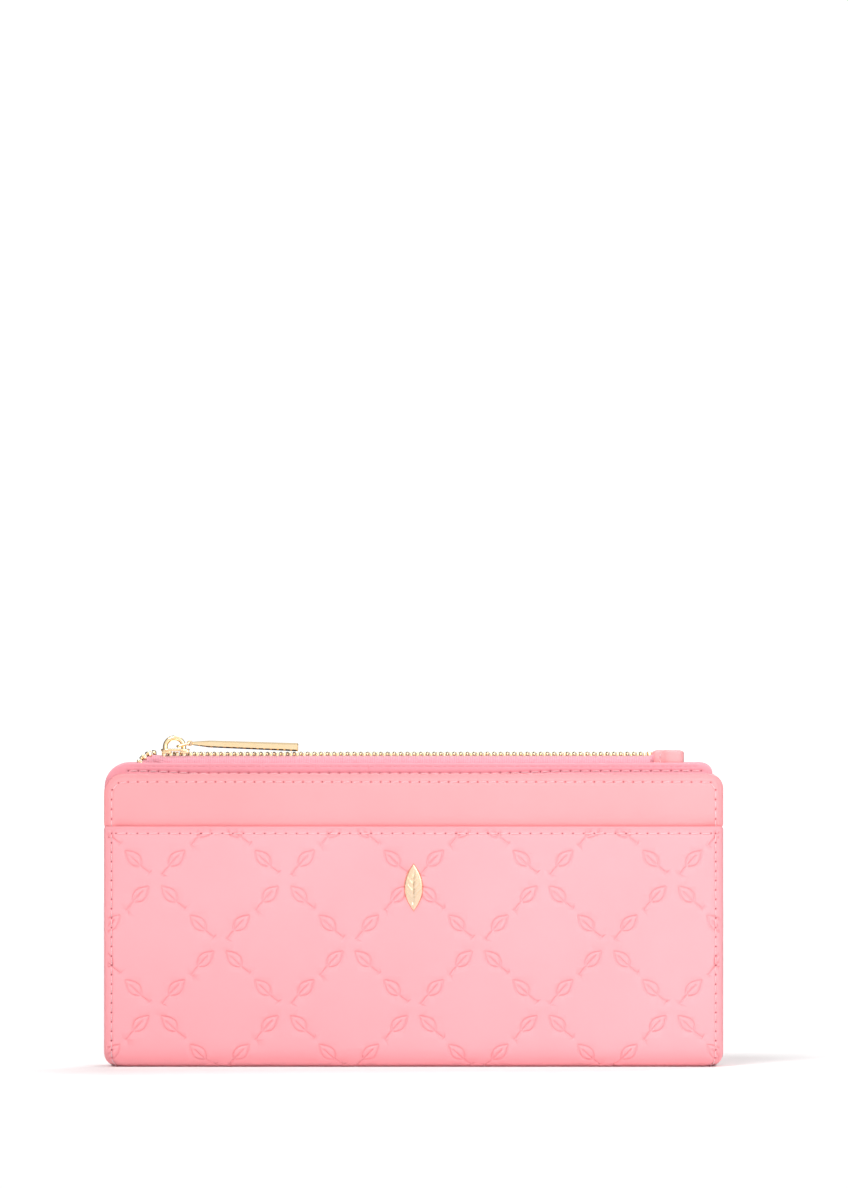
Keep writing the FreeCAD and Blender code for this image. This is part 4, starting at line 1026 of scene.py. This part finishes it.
front_slot = Flat(span("card_pocket_left_1")[0][1] - 0.02, -1)
COLUMN_FOOT, COLUMN_TOP = 4.0, 70.0
slot_row = spaced([(0.0, COLUMN_FOOT), (0.0, COLUMN_TOP)], PITCH_SIDE)
stitches("card_column_stitches", [(slot_row, front_slot, 0.05)], "back", "card_column_stitching")

# The spine's cloth, in two lengths: each one comes down a leaf and turns under to the wallet's middle.
LINING_TRIM = 2.2
SPINE_HEM = 0.8
SPINE_CLOTH_TOP = span("spine_lining")[1][2]
CLOTH_FACE = LINING_FACE - 0.25
CLOTH_END = CLOTH_FACE + 1.85
CLOTH_BEND = ("cover", "spine", (0, CLOTH_FACE, span("cover_lining")[0][2]), (0, CLOTH_END, SPINE_CLOTH_TOP))
BACK_CLOTH_FACE = 7.85
front_cloth_face = Wrapped(CLOTH_FACE, -1, 0.95, SPINE_CLOTH_TOP, inward=True)
back_cloth_face = Wrapped(BACK_CLOTH_FACE, 1, 1.6, SPINE_CLOTH_TOP, inward=True)
for name, face, bend, top in (("spine_cloth_front", front_cloth_face, CLOTH_BEND, 8.0),
                              ("spine_cloth_back", back_cloth_face, BACK_BEND, 4.6)):
    cloth_edge = Outline(LEFT + LINING_TRIM, RIGHT - LINING_TRIM, face.foot, top, (0.5, 0.5, 0, 0), open_foot=True)
    cloth = panel(name, cloth_edge, face, LINING, edge=0.15, thick=0.3, hem=SPINE_HEM, crown=0.0, grid=0.5,
                  step=0.6)
    fit(cloth, bend, "spine_lining")


GUSSET_INSET = 0.9
GUSSET_DEEP = 2.2
GUSSET_RISE = 5.0      # how far it stands above its CAD solid, up to the zip


def gusset_fold(share):
    """How far a gusset folds in across the pouch, from 0 at its walls to 1 in the middle."""
    return 1.0 - abs(2 * share - 1) ** 1.5


def gusset(name, node, inner_side):
    """End wall of the pouch: one soft fold that points inwards, deeper towards its top."""
    low, high = span(node)
    outer = high[0] - GUSSET_INSET if inner_side < 0 else low[0] + GUSSET_INSET
    rows = []
    for z in np.linspace(low[2], high[2] + GUSSET_RISE, 34):
        rise = (z - low[2]) / (high[2] - low[2])
        wide = (high[1] - low[1] - 0.5) * (1.0 - 0.1 * smooth((rise - 0.95) / 0.2))
        deep = GUSSET_DEEP + 1.2 * min(rise, 1.0) + 0.12 * math.sin(z / 6.0)
        rows.append([(outer + inner_side * deep * gusset_fold(share),
                      (low[1] + high[1]) / 2 + (share - 0.5) * wide, z) for share in np.linspace(0.0, 1.0, 25)])
    fit(thick_sheet(name, rows, 0.45, PLAIN), "back", node)


gusset("gusset_fold_left", "gusset_left", 1)
gusset("gusset_fold_right", "gusset_right", -1)
FLOOR_CLOTH = 0.3
FLOOR_LAP = 0.15       # the floor's ends run into the gussets' folds
(floor_left, floor_front, floor_z), (_, floor_back, _) = span("gusset_left")
floor_right = span("gusset_right")[1][0]
floor_rows = []
for share in np.linspace(0.0, 1.0, 60):
    row = []
    for y in np.linspace(floor_front + 0.05, floor_back - 0.05, 17):
        inset = GUSSET_INSET + GUSSET_DEEP * gusset_fold((y - floor_front) / (floor_back - floor_front)) - FLOOR_LAP
        row.append((floor_left + inset + (floor_right - floor_left - 2 * inset) * share, y,
                    floor_z - 0.08 - FLOOR_CLOTH / 2))
    floor_rows.append(row)
fit(thick_sheet("pouch_floor_cloth", floor_rows, FLOOR_CLOTH, LINING), "back", "pouch_floor")

# ---------------------------------------------------------------- zip
CHAIN_LEFT, CHAIN_RIGHT = (corner[0] for corner in span("zip_tape_front"))
CHAIN_Z = 95.9
CHAIN_Y = 3.0
TURN_X = CHAIN_LEFT - 0.4
TURN_RADIUS = 6.0
TURN_MOST = 1.45
PITCH = 2.06
TEETH = 72
TURNED_TEETH = 4
FIRST_TOOTH = 1.3       # from where the zip turns down
SPLAY = 0.9
FREE_REACH = 1.0        # the zip's open end springs out and up from the slider
FREE_RISE = 0.8
TAPE_IN_TAB = 1.6
TAPE_FOLDED = 0.35      # the tapes lie face to face inside the tab


def chain_place(s, q, h, side):
    """A point of the zip: s along it, to the left of where it turns down, q out from its middle and h up."""
    turn = np.clip(s / TURN_RADIUS, 0.0, TURN_MOST)
    past = np.maximum(s - TURN_RADIUS * TURN_MOST, 0.0)
    ahead = np.minimum(s, 0.0)
    free = smooth((s + 1.0) / 3.0)
    x = TURN_X - ahead - (TURN_RADIUS + h) * np.sin(turn) - past * np.cos(turn) - FREE_REACH * free
    z = CHAIN_Z - TURN_RADIUS + (TURN_RADIUS + h) * np.cos(turn) - past * np.sin(turn) + FREE_RISE * free
    y = CHAIN_Y + side * (q + SPLAY * smooth(s / (2 * PITCH)))
    return np.stack([x, y, z], axis=-1)


def tape_section():
    """The tape's middle from its beaded edge out, over and down inside the pouch wall, as (q, h)."""
    flat = [(q, -0.4 - 0.12 * (q - 1.3) ** 2) for q in np.linspace(1.3, 3.3, 8)]
    turn = [(3.3 + 0.8 * math.sin(a), -1.68 + 0.8 * math.cos(a)) for a in np.linspace(0.45, math.pi / 2, 6)]
    down = [(4.1 + 0.07 * math.sin(k * 1.15), -1.68 - 0.35 * k) for k in range(1, 12)]
    return np.array(flat + turn + down + [(4.1, -7.0), (4.1, -9.5), (4.1, -11.3)])


section = tape_section()
tape_run = np.concatenate([[0.0], np.cumsum(np.hypot(*np.diff(section, axis=0).T))])
s_end = TURN_X - CHAIN_RIGHT - TAPE_IN_TAB
s_tab = TURN_X - CHAIN_RIGHT + 1.6
tape_s = np.concatenate([np.linspace(s_end, s_tab, 16)[:-1], np.linspace(s_tab, -6.0, 90),
                         np.linspace(-5.0, 9.6, 22)])


def tape_row(s, side):
    """The tape's section at s: it shallows past the slider, and folds flat inside the tab."""
    drop = 1.0 - 0.7 * smooth((s + 5.0) / 5.0)
    h = np.where(section[:, 1] < -1.2, -1.2 + (section[:, 1] + 1.2) * drop, section[:, 1])
    h = h - 0.3 * smooth((s + 1.0) / 2.5)
    wave = 0.06 * math.sin(s / 4.3) * smooth(-section[:, 1] / 4.0)
    pull = 1.0 - 0.85 * smooth((s + 1.0) / 3.0)
    q = 1.3 + (section[:, 0] - 1.3) * pull + wave
    folded = smooth((s_tab - s) / 2.4)
    q = q + (TAPE_FOLDED - q) * folded
    h = h + (0.5 - tape_run - h) * folded
    return chain_place(np.full(len(h), s), q, h, side)


for end, side in (("front", -1), ("back", 1)):
    tape = thick_sheet(f"zip_tape_cloth_{end}", [tape_row(s, side) for s in tape_s], 0.38, TAPE)
    fit(tape, "back", f"zip_tape_{end}")

# One cast tooth as sections across the zip: (q, half along, half up).
TOOTH = ((-0.42, 0.16, 0.3), (-0.34, 0.3, 0.5), (-0.1, 0.38, 0.66), (0.25, 0.34, 0.7), (0.6, 0.44, 0.88),
         (1.7, 0.47, 0.95), (2.05, 0.45, 0.9), (2.22, 0.36, 0.76), (2.26, 0.2, 0.5))
TOOTH_SIDES = 12
turns = (np.arange(TOOTH_SIDES) + 0.5) * math.tau / TOOTH_SIDES
squared = [np.copysign(np.abs(wave) ** 0.45, wave) for wave in (np.cos(turns), np.sin(turns))]
tooth_s = np.concatenate([half_s * squared[0] for _, half_s, _ in TOOTH])
tooth_h = np.concatenate([half_h * squared[1] for _, _, half_h in TOOTH])
tooth_q = np.repeat([q for q, _, _ in TOOTH], TOOTH_SIDES)
tooth_faces = skin(len(TOOTH), TOOTH_SIDES)
for end, side, count, offset in (("front", -1, TEETH + 1, 0.0), ("back", 1, TEETH, PITCH / 2)):
    stations = [-FIRST_TOOTH - offset - k * PITCH for k in range(count)]
    stations += [k * PITCH - offset for k in range(1, TURNED_TEETH + 1)]
    teeth = [(chain_place(tooth_s + s, tooth_q, tooth_h, side), tooth_faces) for s in stations]
    cast(f"zip_row_{end}", teeth, "back", f"zip_teeth_{end}")

for name in ("top_stop_front", "top_stop_back", "bottom_stop"):
    low, high = span("zip_" + name)
    box = np.array([(low[0], low[1]), (high[0], low[1]), (high[0], high[1]), (low[0], high[1])])
    corners = []
    for k, here in enumerate(box):
        for reach in (box[k - 1] - here, box[(k + 1) % 4] - here):
            corners.append(here + reach / np.linalg.norm(reach) * 0.35)
    clamp = slab_mesh(rounded(corners, 1), low[2], high[2], 0.3)
    cast("zip_end_" + name.replace("stop", "clamp"), [clamp], "back", "zip_" + name)

# ---------------------------------------------------------------- leather tab and strap loop
TAB_LOW, TAB_HIGH = span("zip_end_tab")
TAB_LEFT, TAB_RIGHT = TAB_LOW[0], TAB_HIGH[0]
TAB_THICK = 0.95
TAB_PROUD = 0.4
NECK_GAP = 1.15
tab_middle = (TAB_LOW[1] + TAB_HIGH[1]) / 2
tab_half = (TAB_HIGH[1] - TAB_LOW[1]) / 2 - TAB_THICK / 2
front_route = [(TAB_RIGHT - TAB_THICK / 2, tab_half * 0.6), (TAB_RIGHT - 1.0, tab_half), (TAB_LEFT + 5.6, tab_half),
               (TAB_LEFT + 4.2, tab_half * 0.94), (TAB_LEFT + 2.4, NECK_GAP + 0.15), (TAB_LEFT, NECK_GAP)]
tab_route = rounded(front_route[::-1] + [(x, -y) for x, y in front_route], 3)
open_end = int(np.argmax(np.abs(np.diff(tab_route[:, 1], append=tab_route[0, 1]))
                         * (tab_route[:, 0] < TAB_LEFT + 1.0)))
tab_route = np.roll(tab_route, -open_end - 1, axis=0)
shares = np.concatenate([[0.0, 0.012, 0.03], np.linspace(0.06, 0.94, 14), [0.97, 0.988, 1.0]])
lip = np.maximum(0.0, (np.abs(2 * shares - 1) - 0.88) / 0.12)
tab_thickness = TAB_THICK * np.sqrt(np.maximum(0.04, 1.0 - lip ** 2))
rows = []
for x, y in tab_route:
    slope = np.clip((x - (TAB_RIGHT - 1.5)) / 1.5, 0.0, 1.0) ** 2
    ease = smooth((TAB_LEFT + 1.3 - x) / 1.3)
    top = TAB_HIGH[2] + TAB_PROUD - 0.9 * slope - 0.4 * ease ** 2
    rows.append([(x, tab_middle + y, TAB_LOW[2] + (top - TAB_LOW[2]) * share) for share in shares])
fit(thick_sheet("zip_tab_loop", rows, tab_thickness, TAB), "back", "zip_end_tab")
tab_face = Flat(tab_middle - NECK_GAP - 0.3 - TAB_THICK / 2, -1)
tab_row = spaced([(TAB_LEFT + 2.0, TAB_LOW[2] + 0.8), (TAB_LEFT + 2.0, TAB_HIGH[2] - 0.5)], 1.9)
stitches("tab_stitches", [(tab_row, tab_face, 0.02)], "back", "tab_stitching")

# ---------------------------------------------------------------- slider, crown, ring and puller
BODY_LOW, BODY_HIGH = span("slider_body")
SLIDER_LEFT, _, SLIDER_FOOT = BODY_LOW
SLIDER_RIGHT, _, DECK = BODY_HIGH
SLIDER_HALF = (BODY_HIGH[1] - BODY_LOW[1]) / 2
PLATE = 0.7
FLANGE = 0.6
FLANGE_REACH = 1.25
TAPE_SLOT = 0.45       # half of the gap that the tapes run through, between the flanges
# Half of its plan: the share of its length from the left, and the share of its half width.
half_plan = ((0.0, 0.30), (0.02, 0.62), (0.10, 0.90), (0.26, 1.0), (0.52, 0.92), (0.80, 0.86), (0.95, 0.72),
             (1.0, 0.40))
plan = [(SLIDER_LEFT + (SLIDER_RIGHT - SLIDER_LEFT) * a, CHAIN_Y - SLIDER_HALF * b) for a, b in half_plan]
plan = rounded(plan + [(x, 2 * CHAIN_Y - y) for x, y in plan[::-1]], 2)
slider_meshes = [slab_mesh(plan, DECK - PLATE, DECK, 0.25), slab_mesh(plan, SLIDER_FOOT, SLIDER_FOOT + PLATE, 0.25)]
for side in (-1, 1):
    for low, high in ((CHAIN_Z + TAPE_SLOT, DECK - PLATE * 0.5), (SLIDER_FOOT + PLATE * 0.5, CHAIN_Z - TAPE_SLOT)):
        for x, share in ((SLIDER_LEFT + 1.9, 0.9), (SLIDER_RIGHT - 1.5, 0.78)):
            y = CHAIN_Y + side * (SLIDER_HALF * share - FLANGE / 2)
            flange = rounded([(x + a * FLANGE_REACH, y + b * FLANGE / 2)
                              for a, b in ((-1, -1), (1, -1), (1, 1), (-1, 1))], 2)
            slider_meshes.append(slab_mesh(flange, low, high, 0.12))
nose = rounded([(SLIDER_LEFT + 0.3, CHAIN_Y - 0.2), (SLIDER_LEFT + 1.1, CHAIN_Y - 0.1),
                (SLIDER_LEFT + 1.1, CHAIN_Y + 0.1), (SLIDER_LEFT + 0.3, CHAIN_Y + 0.2)], 1)
slider_meshes.append(slab_mesh(nose, SLIDER_FOOT + 0.3, DECK - 0.3, 0.05))
cast("slider_casting", slider_meshes, "slider", "slider_body")

joints = {joint["name"]: joint for joint in frame["joints"]}
crown_centre = np.array(joints["ring_swing"]["pos_m"]) / MM
eye = np.array(joints["puller_tilt"]["pos_m"]) / MM
CROWN_RADIUS = 2.85
CROWN_WIRE = 0.75
legs = [(CROWN_RADIUS, DECK + 0.2), (CROWN_RADIUS, DECK - 0.3)]
arch = [(-x, z) for x, z in legs[::-1]]
arch += [(-CROWN_RADIUS * math.cos(a), crown_centre[2] + CROWN_RADIUS * math.sin(a))
         for a in np.linspace(0.0, math.pi, 33)]
arch = [(crown_centre[0] + x, CHAIN_Y, z) for x, z in arch + legs]
crown_radii = [(CROWN_WIRE * (1.0 + 0.35 * f ** 4), CROWN_WIRE * (1.0 + 0.05 * f ** 4))
               for f in np.abs(np.linspace(-1, 1, len(arch)))]
cast("slider_bridge", [tube_mesh(arch, crown_radii, 18)], "slider", "slider_crown")

RING_NEAR, RING_FAR, RING_HALF, RING_CORNER, RING_WIRE = 1.0, 4.9, 1.5, 0.8, 0.4
aim = (eye - crown_centre) / np.linalg.norm(eye - crown_centre)
ring_path = []
for a, b, start in ((RING_NEAR + RING_CORNER, -1, math.pi), (RING_FAR - RING_CORNER, -1, -math.pi / 2),
                    (RING_FAR - RING_CORNER, 1, 0.0), (RING_NEAR + RING_CORNER, 1, math.pi / 2)):
    for angle in start + np.linspace(0.0, math.pi / 2, 7):
        across = b * (RING_HALF - RING_CORNER) + RING_CORNER * math.sin(angle)
        ring_path.append(crown_centre + aim * (a + RING_CORNER * math.cos(angle)) + np.array((0.0, across, 0.0)))
cast("pull_link", [tube_mesh(ring_path, RING_WIRE, 14, closed=True)], "ring", "pull_ring")

BAR_LONG = 33.5
BAR_HALF = 1.25
slope = math.asin((eye[2] - span("puller_bar")[0][2] - BAR_HALF) / BAR_LONG)
along = np.array((math.cos(slope), 0.0, -math.sin(slope)))
upward = np.array((math.sin(slope), 0.0, math.cos(slope)))
# The faceted bar as sections along it: (distance, half up, half across, chamfer).
BAR = ((0.62, 0.42, 0.6, 0.14), (0.95, 0.52, 0.8, 0.2), (2.2, 0.66, 0.92, 0.26), (6.0, 1.05, 1.18, 0.42),
       (BAR_LONG - 0.25, BAR_HALF, BAR_HALF, 0.5), (BAR_LONG, BAR_HALF - 0.22, BAR_HALF - 0.22, 0.42))
bar_points = []
for distance, up, across, chamfer in BAR:
    quarter = ((across, up - chamfer), (across - chamfer, up))
    half = [*quarter, *((-a, b) for a, b in quarter[::-1])]
    bar_points += [eye + along * distance + upward * b + np.array((0.0, a, 0.0))
                   for a, b in half + [(-a, -b) for a, b in half]]
cast("puller_blade", [(bar_points, skin(len(BAR), 8))], "puller", "puller_bar", flat=True)
EYE_RADIUS, EYE_BORE, EYE_HALF = 0.9, 0.48, 0.85
eye_middle = (EYE_RADIUS + EYE_BORE) / 2
eye_path = [eye + along * eye_middle * math.cos(a) + upward * eye_middle * math.sin(a)
            for a in np.linspace(0, math.tau, 28, endpoint=False)]
eye_mesh = tube_mesh(eye_path, (EYE_HALF, (EYE_RADIUS - EYE_BORE) / 2), 12, closed=True)
cast("puller_eye", [eye_mesh], "puller", "puller_bar")


# ---------------------------------------------------------------- badge: a slim leaf with a vein
BADGE_LEVELS, BADGE_SPOTS = 49, 25
SIDE_VEINS = (-0.42, -0.12, 0.18)


def badge_depth(up, across, half, half_tall):
    """How far a spot of the badge's face lies behind its front: bevelled edge, veins and a slight dome."""
    bevel = 0.6 * (1.0 - smooth(half * (1.0 - abs(across)) / 0.45))
    vein_gap = abs(across * half - 0.15 * math.sin(up * 2.2))
    vein = 0.32 * (1.0 - smooth(vein_gap / 0.34)) * smooth((0.72 - abs(up)) / 0.12)
    for start in SIDE_VEINS:
        gap = abs((up - start) * half_tall - 1.25 * abs(across * half))
        vein = max(vein, 0.15 * (1.0 - smooth(gap / 0.24)) * smooth((0.8 - abs(across)) / 0.2))
    return bevel + vein + 0.12 * (across ** 2 + up ** 2)


def leaf_badge():
    """The badge's face from sections up the leaf, and plain sides behind its edge."""
    half_wide, _, half_tall = (BADGE_HIGH - BADGE_LOW) / 2
    points = []
    for up in np.linspace(-1.0, 1.0, BADGE_LEVELS):
        half = max(half_wide * (1.0 - abs(up) ** 1.9) ** 0.92, 0.03)
        for spot in np.linspace(-1.0, 1.0, BADGE_SPOTS):
            across = math.copysign(abs(spot) ** 0.8, spot)
            depth = badge_depth(up, across, half, half_tall)
            points.append((BADGE_MIDDLE[0] + across * half, BADGE_LOW[1] + depth, BADGE_MIDDLE[2] + up * half_tall))
    index = np.arange(len(points)).reshape(BADGE_LEVELS, BADGE_SPOTS)
    faces = [(a, a + 1, a + BADGE_SPOTS + 1, a + BADGE_SPOTS) for a in index[:-1, :-1].ravel()]
    rim = [*index[0], *index[1:, -1], *index[-1, -2::-1], *index[-2:0:-1, 0]]
    start = len(points)
    points += [(points[k][0], FRONT + 0.15, points[k][2]) for k in rim]
    for k, here in enumerate(rim):
        after = (k + 1) % len(rim)
        faces.append((here, start + k, start + after, rim[after]))
    return points, faces


badge = joined_mesh("leaf_badge", [leaf_badge()], BADGE)
badge.data.set_sharp_from_angle(angle=math.radians(50))
fit(badge, "cover", "badge_plate")

# ---------------------------------------------------------------- pieces that stay as the CAD made them
for finish, kept in ((BOARD, ("cover_board", "back_board", "pouch_board", "spine_stiffener")),
                     (STEEL, ("cover_magnet", "pouch_magnet", "badge_washer"))):
    for node in kept:
        nodes[node].data.materials.clear()
        nodes[node].data.materials.append(finish)

# ---------------------------------------------------------------- floor
floor_mesh = bpy.data.meshes.new("floor")
FLOOR = 1.6
floor_mesh.from_pydata([(-FLOOR, -FLOOR, 0), (FLOOR, -FLOOR, 0), (FLOOR, FLOOR, 0), (-FLOOR, FLOOR, 0)], [],
                       [(0, 1, 2, 3)])
floor = in_scene("floor", floor_mesh)
floor.location.z = cad_box[0][2] - 0.00005
paper = Shader("floor_paper", Roughness=0.9, Specular_IOR_Level=0.1)
paper.feed(Base_Color=paper.mix(paper.noise(3.0), (0.965, 0.965, 0.965, 1.0), (0.98, 0.98, 0.98, 1.0)))
floor_mesh.materials.append(paper.material)
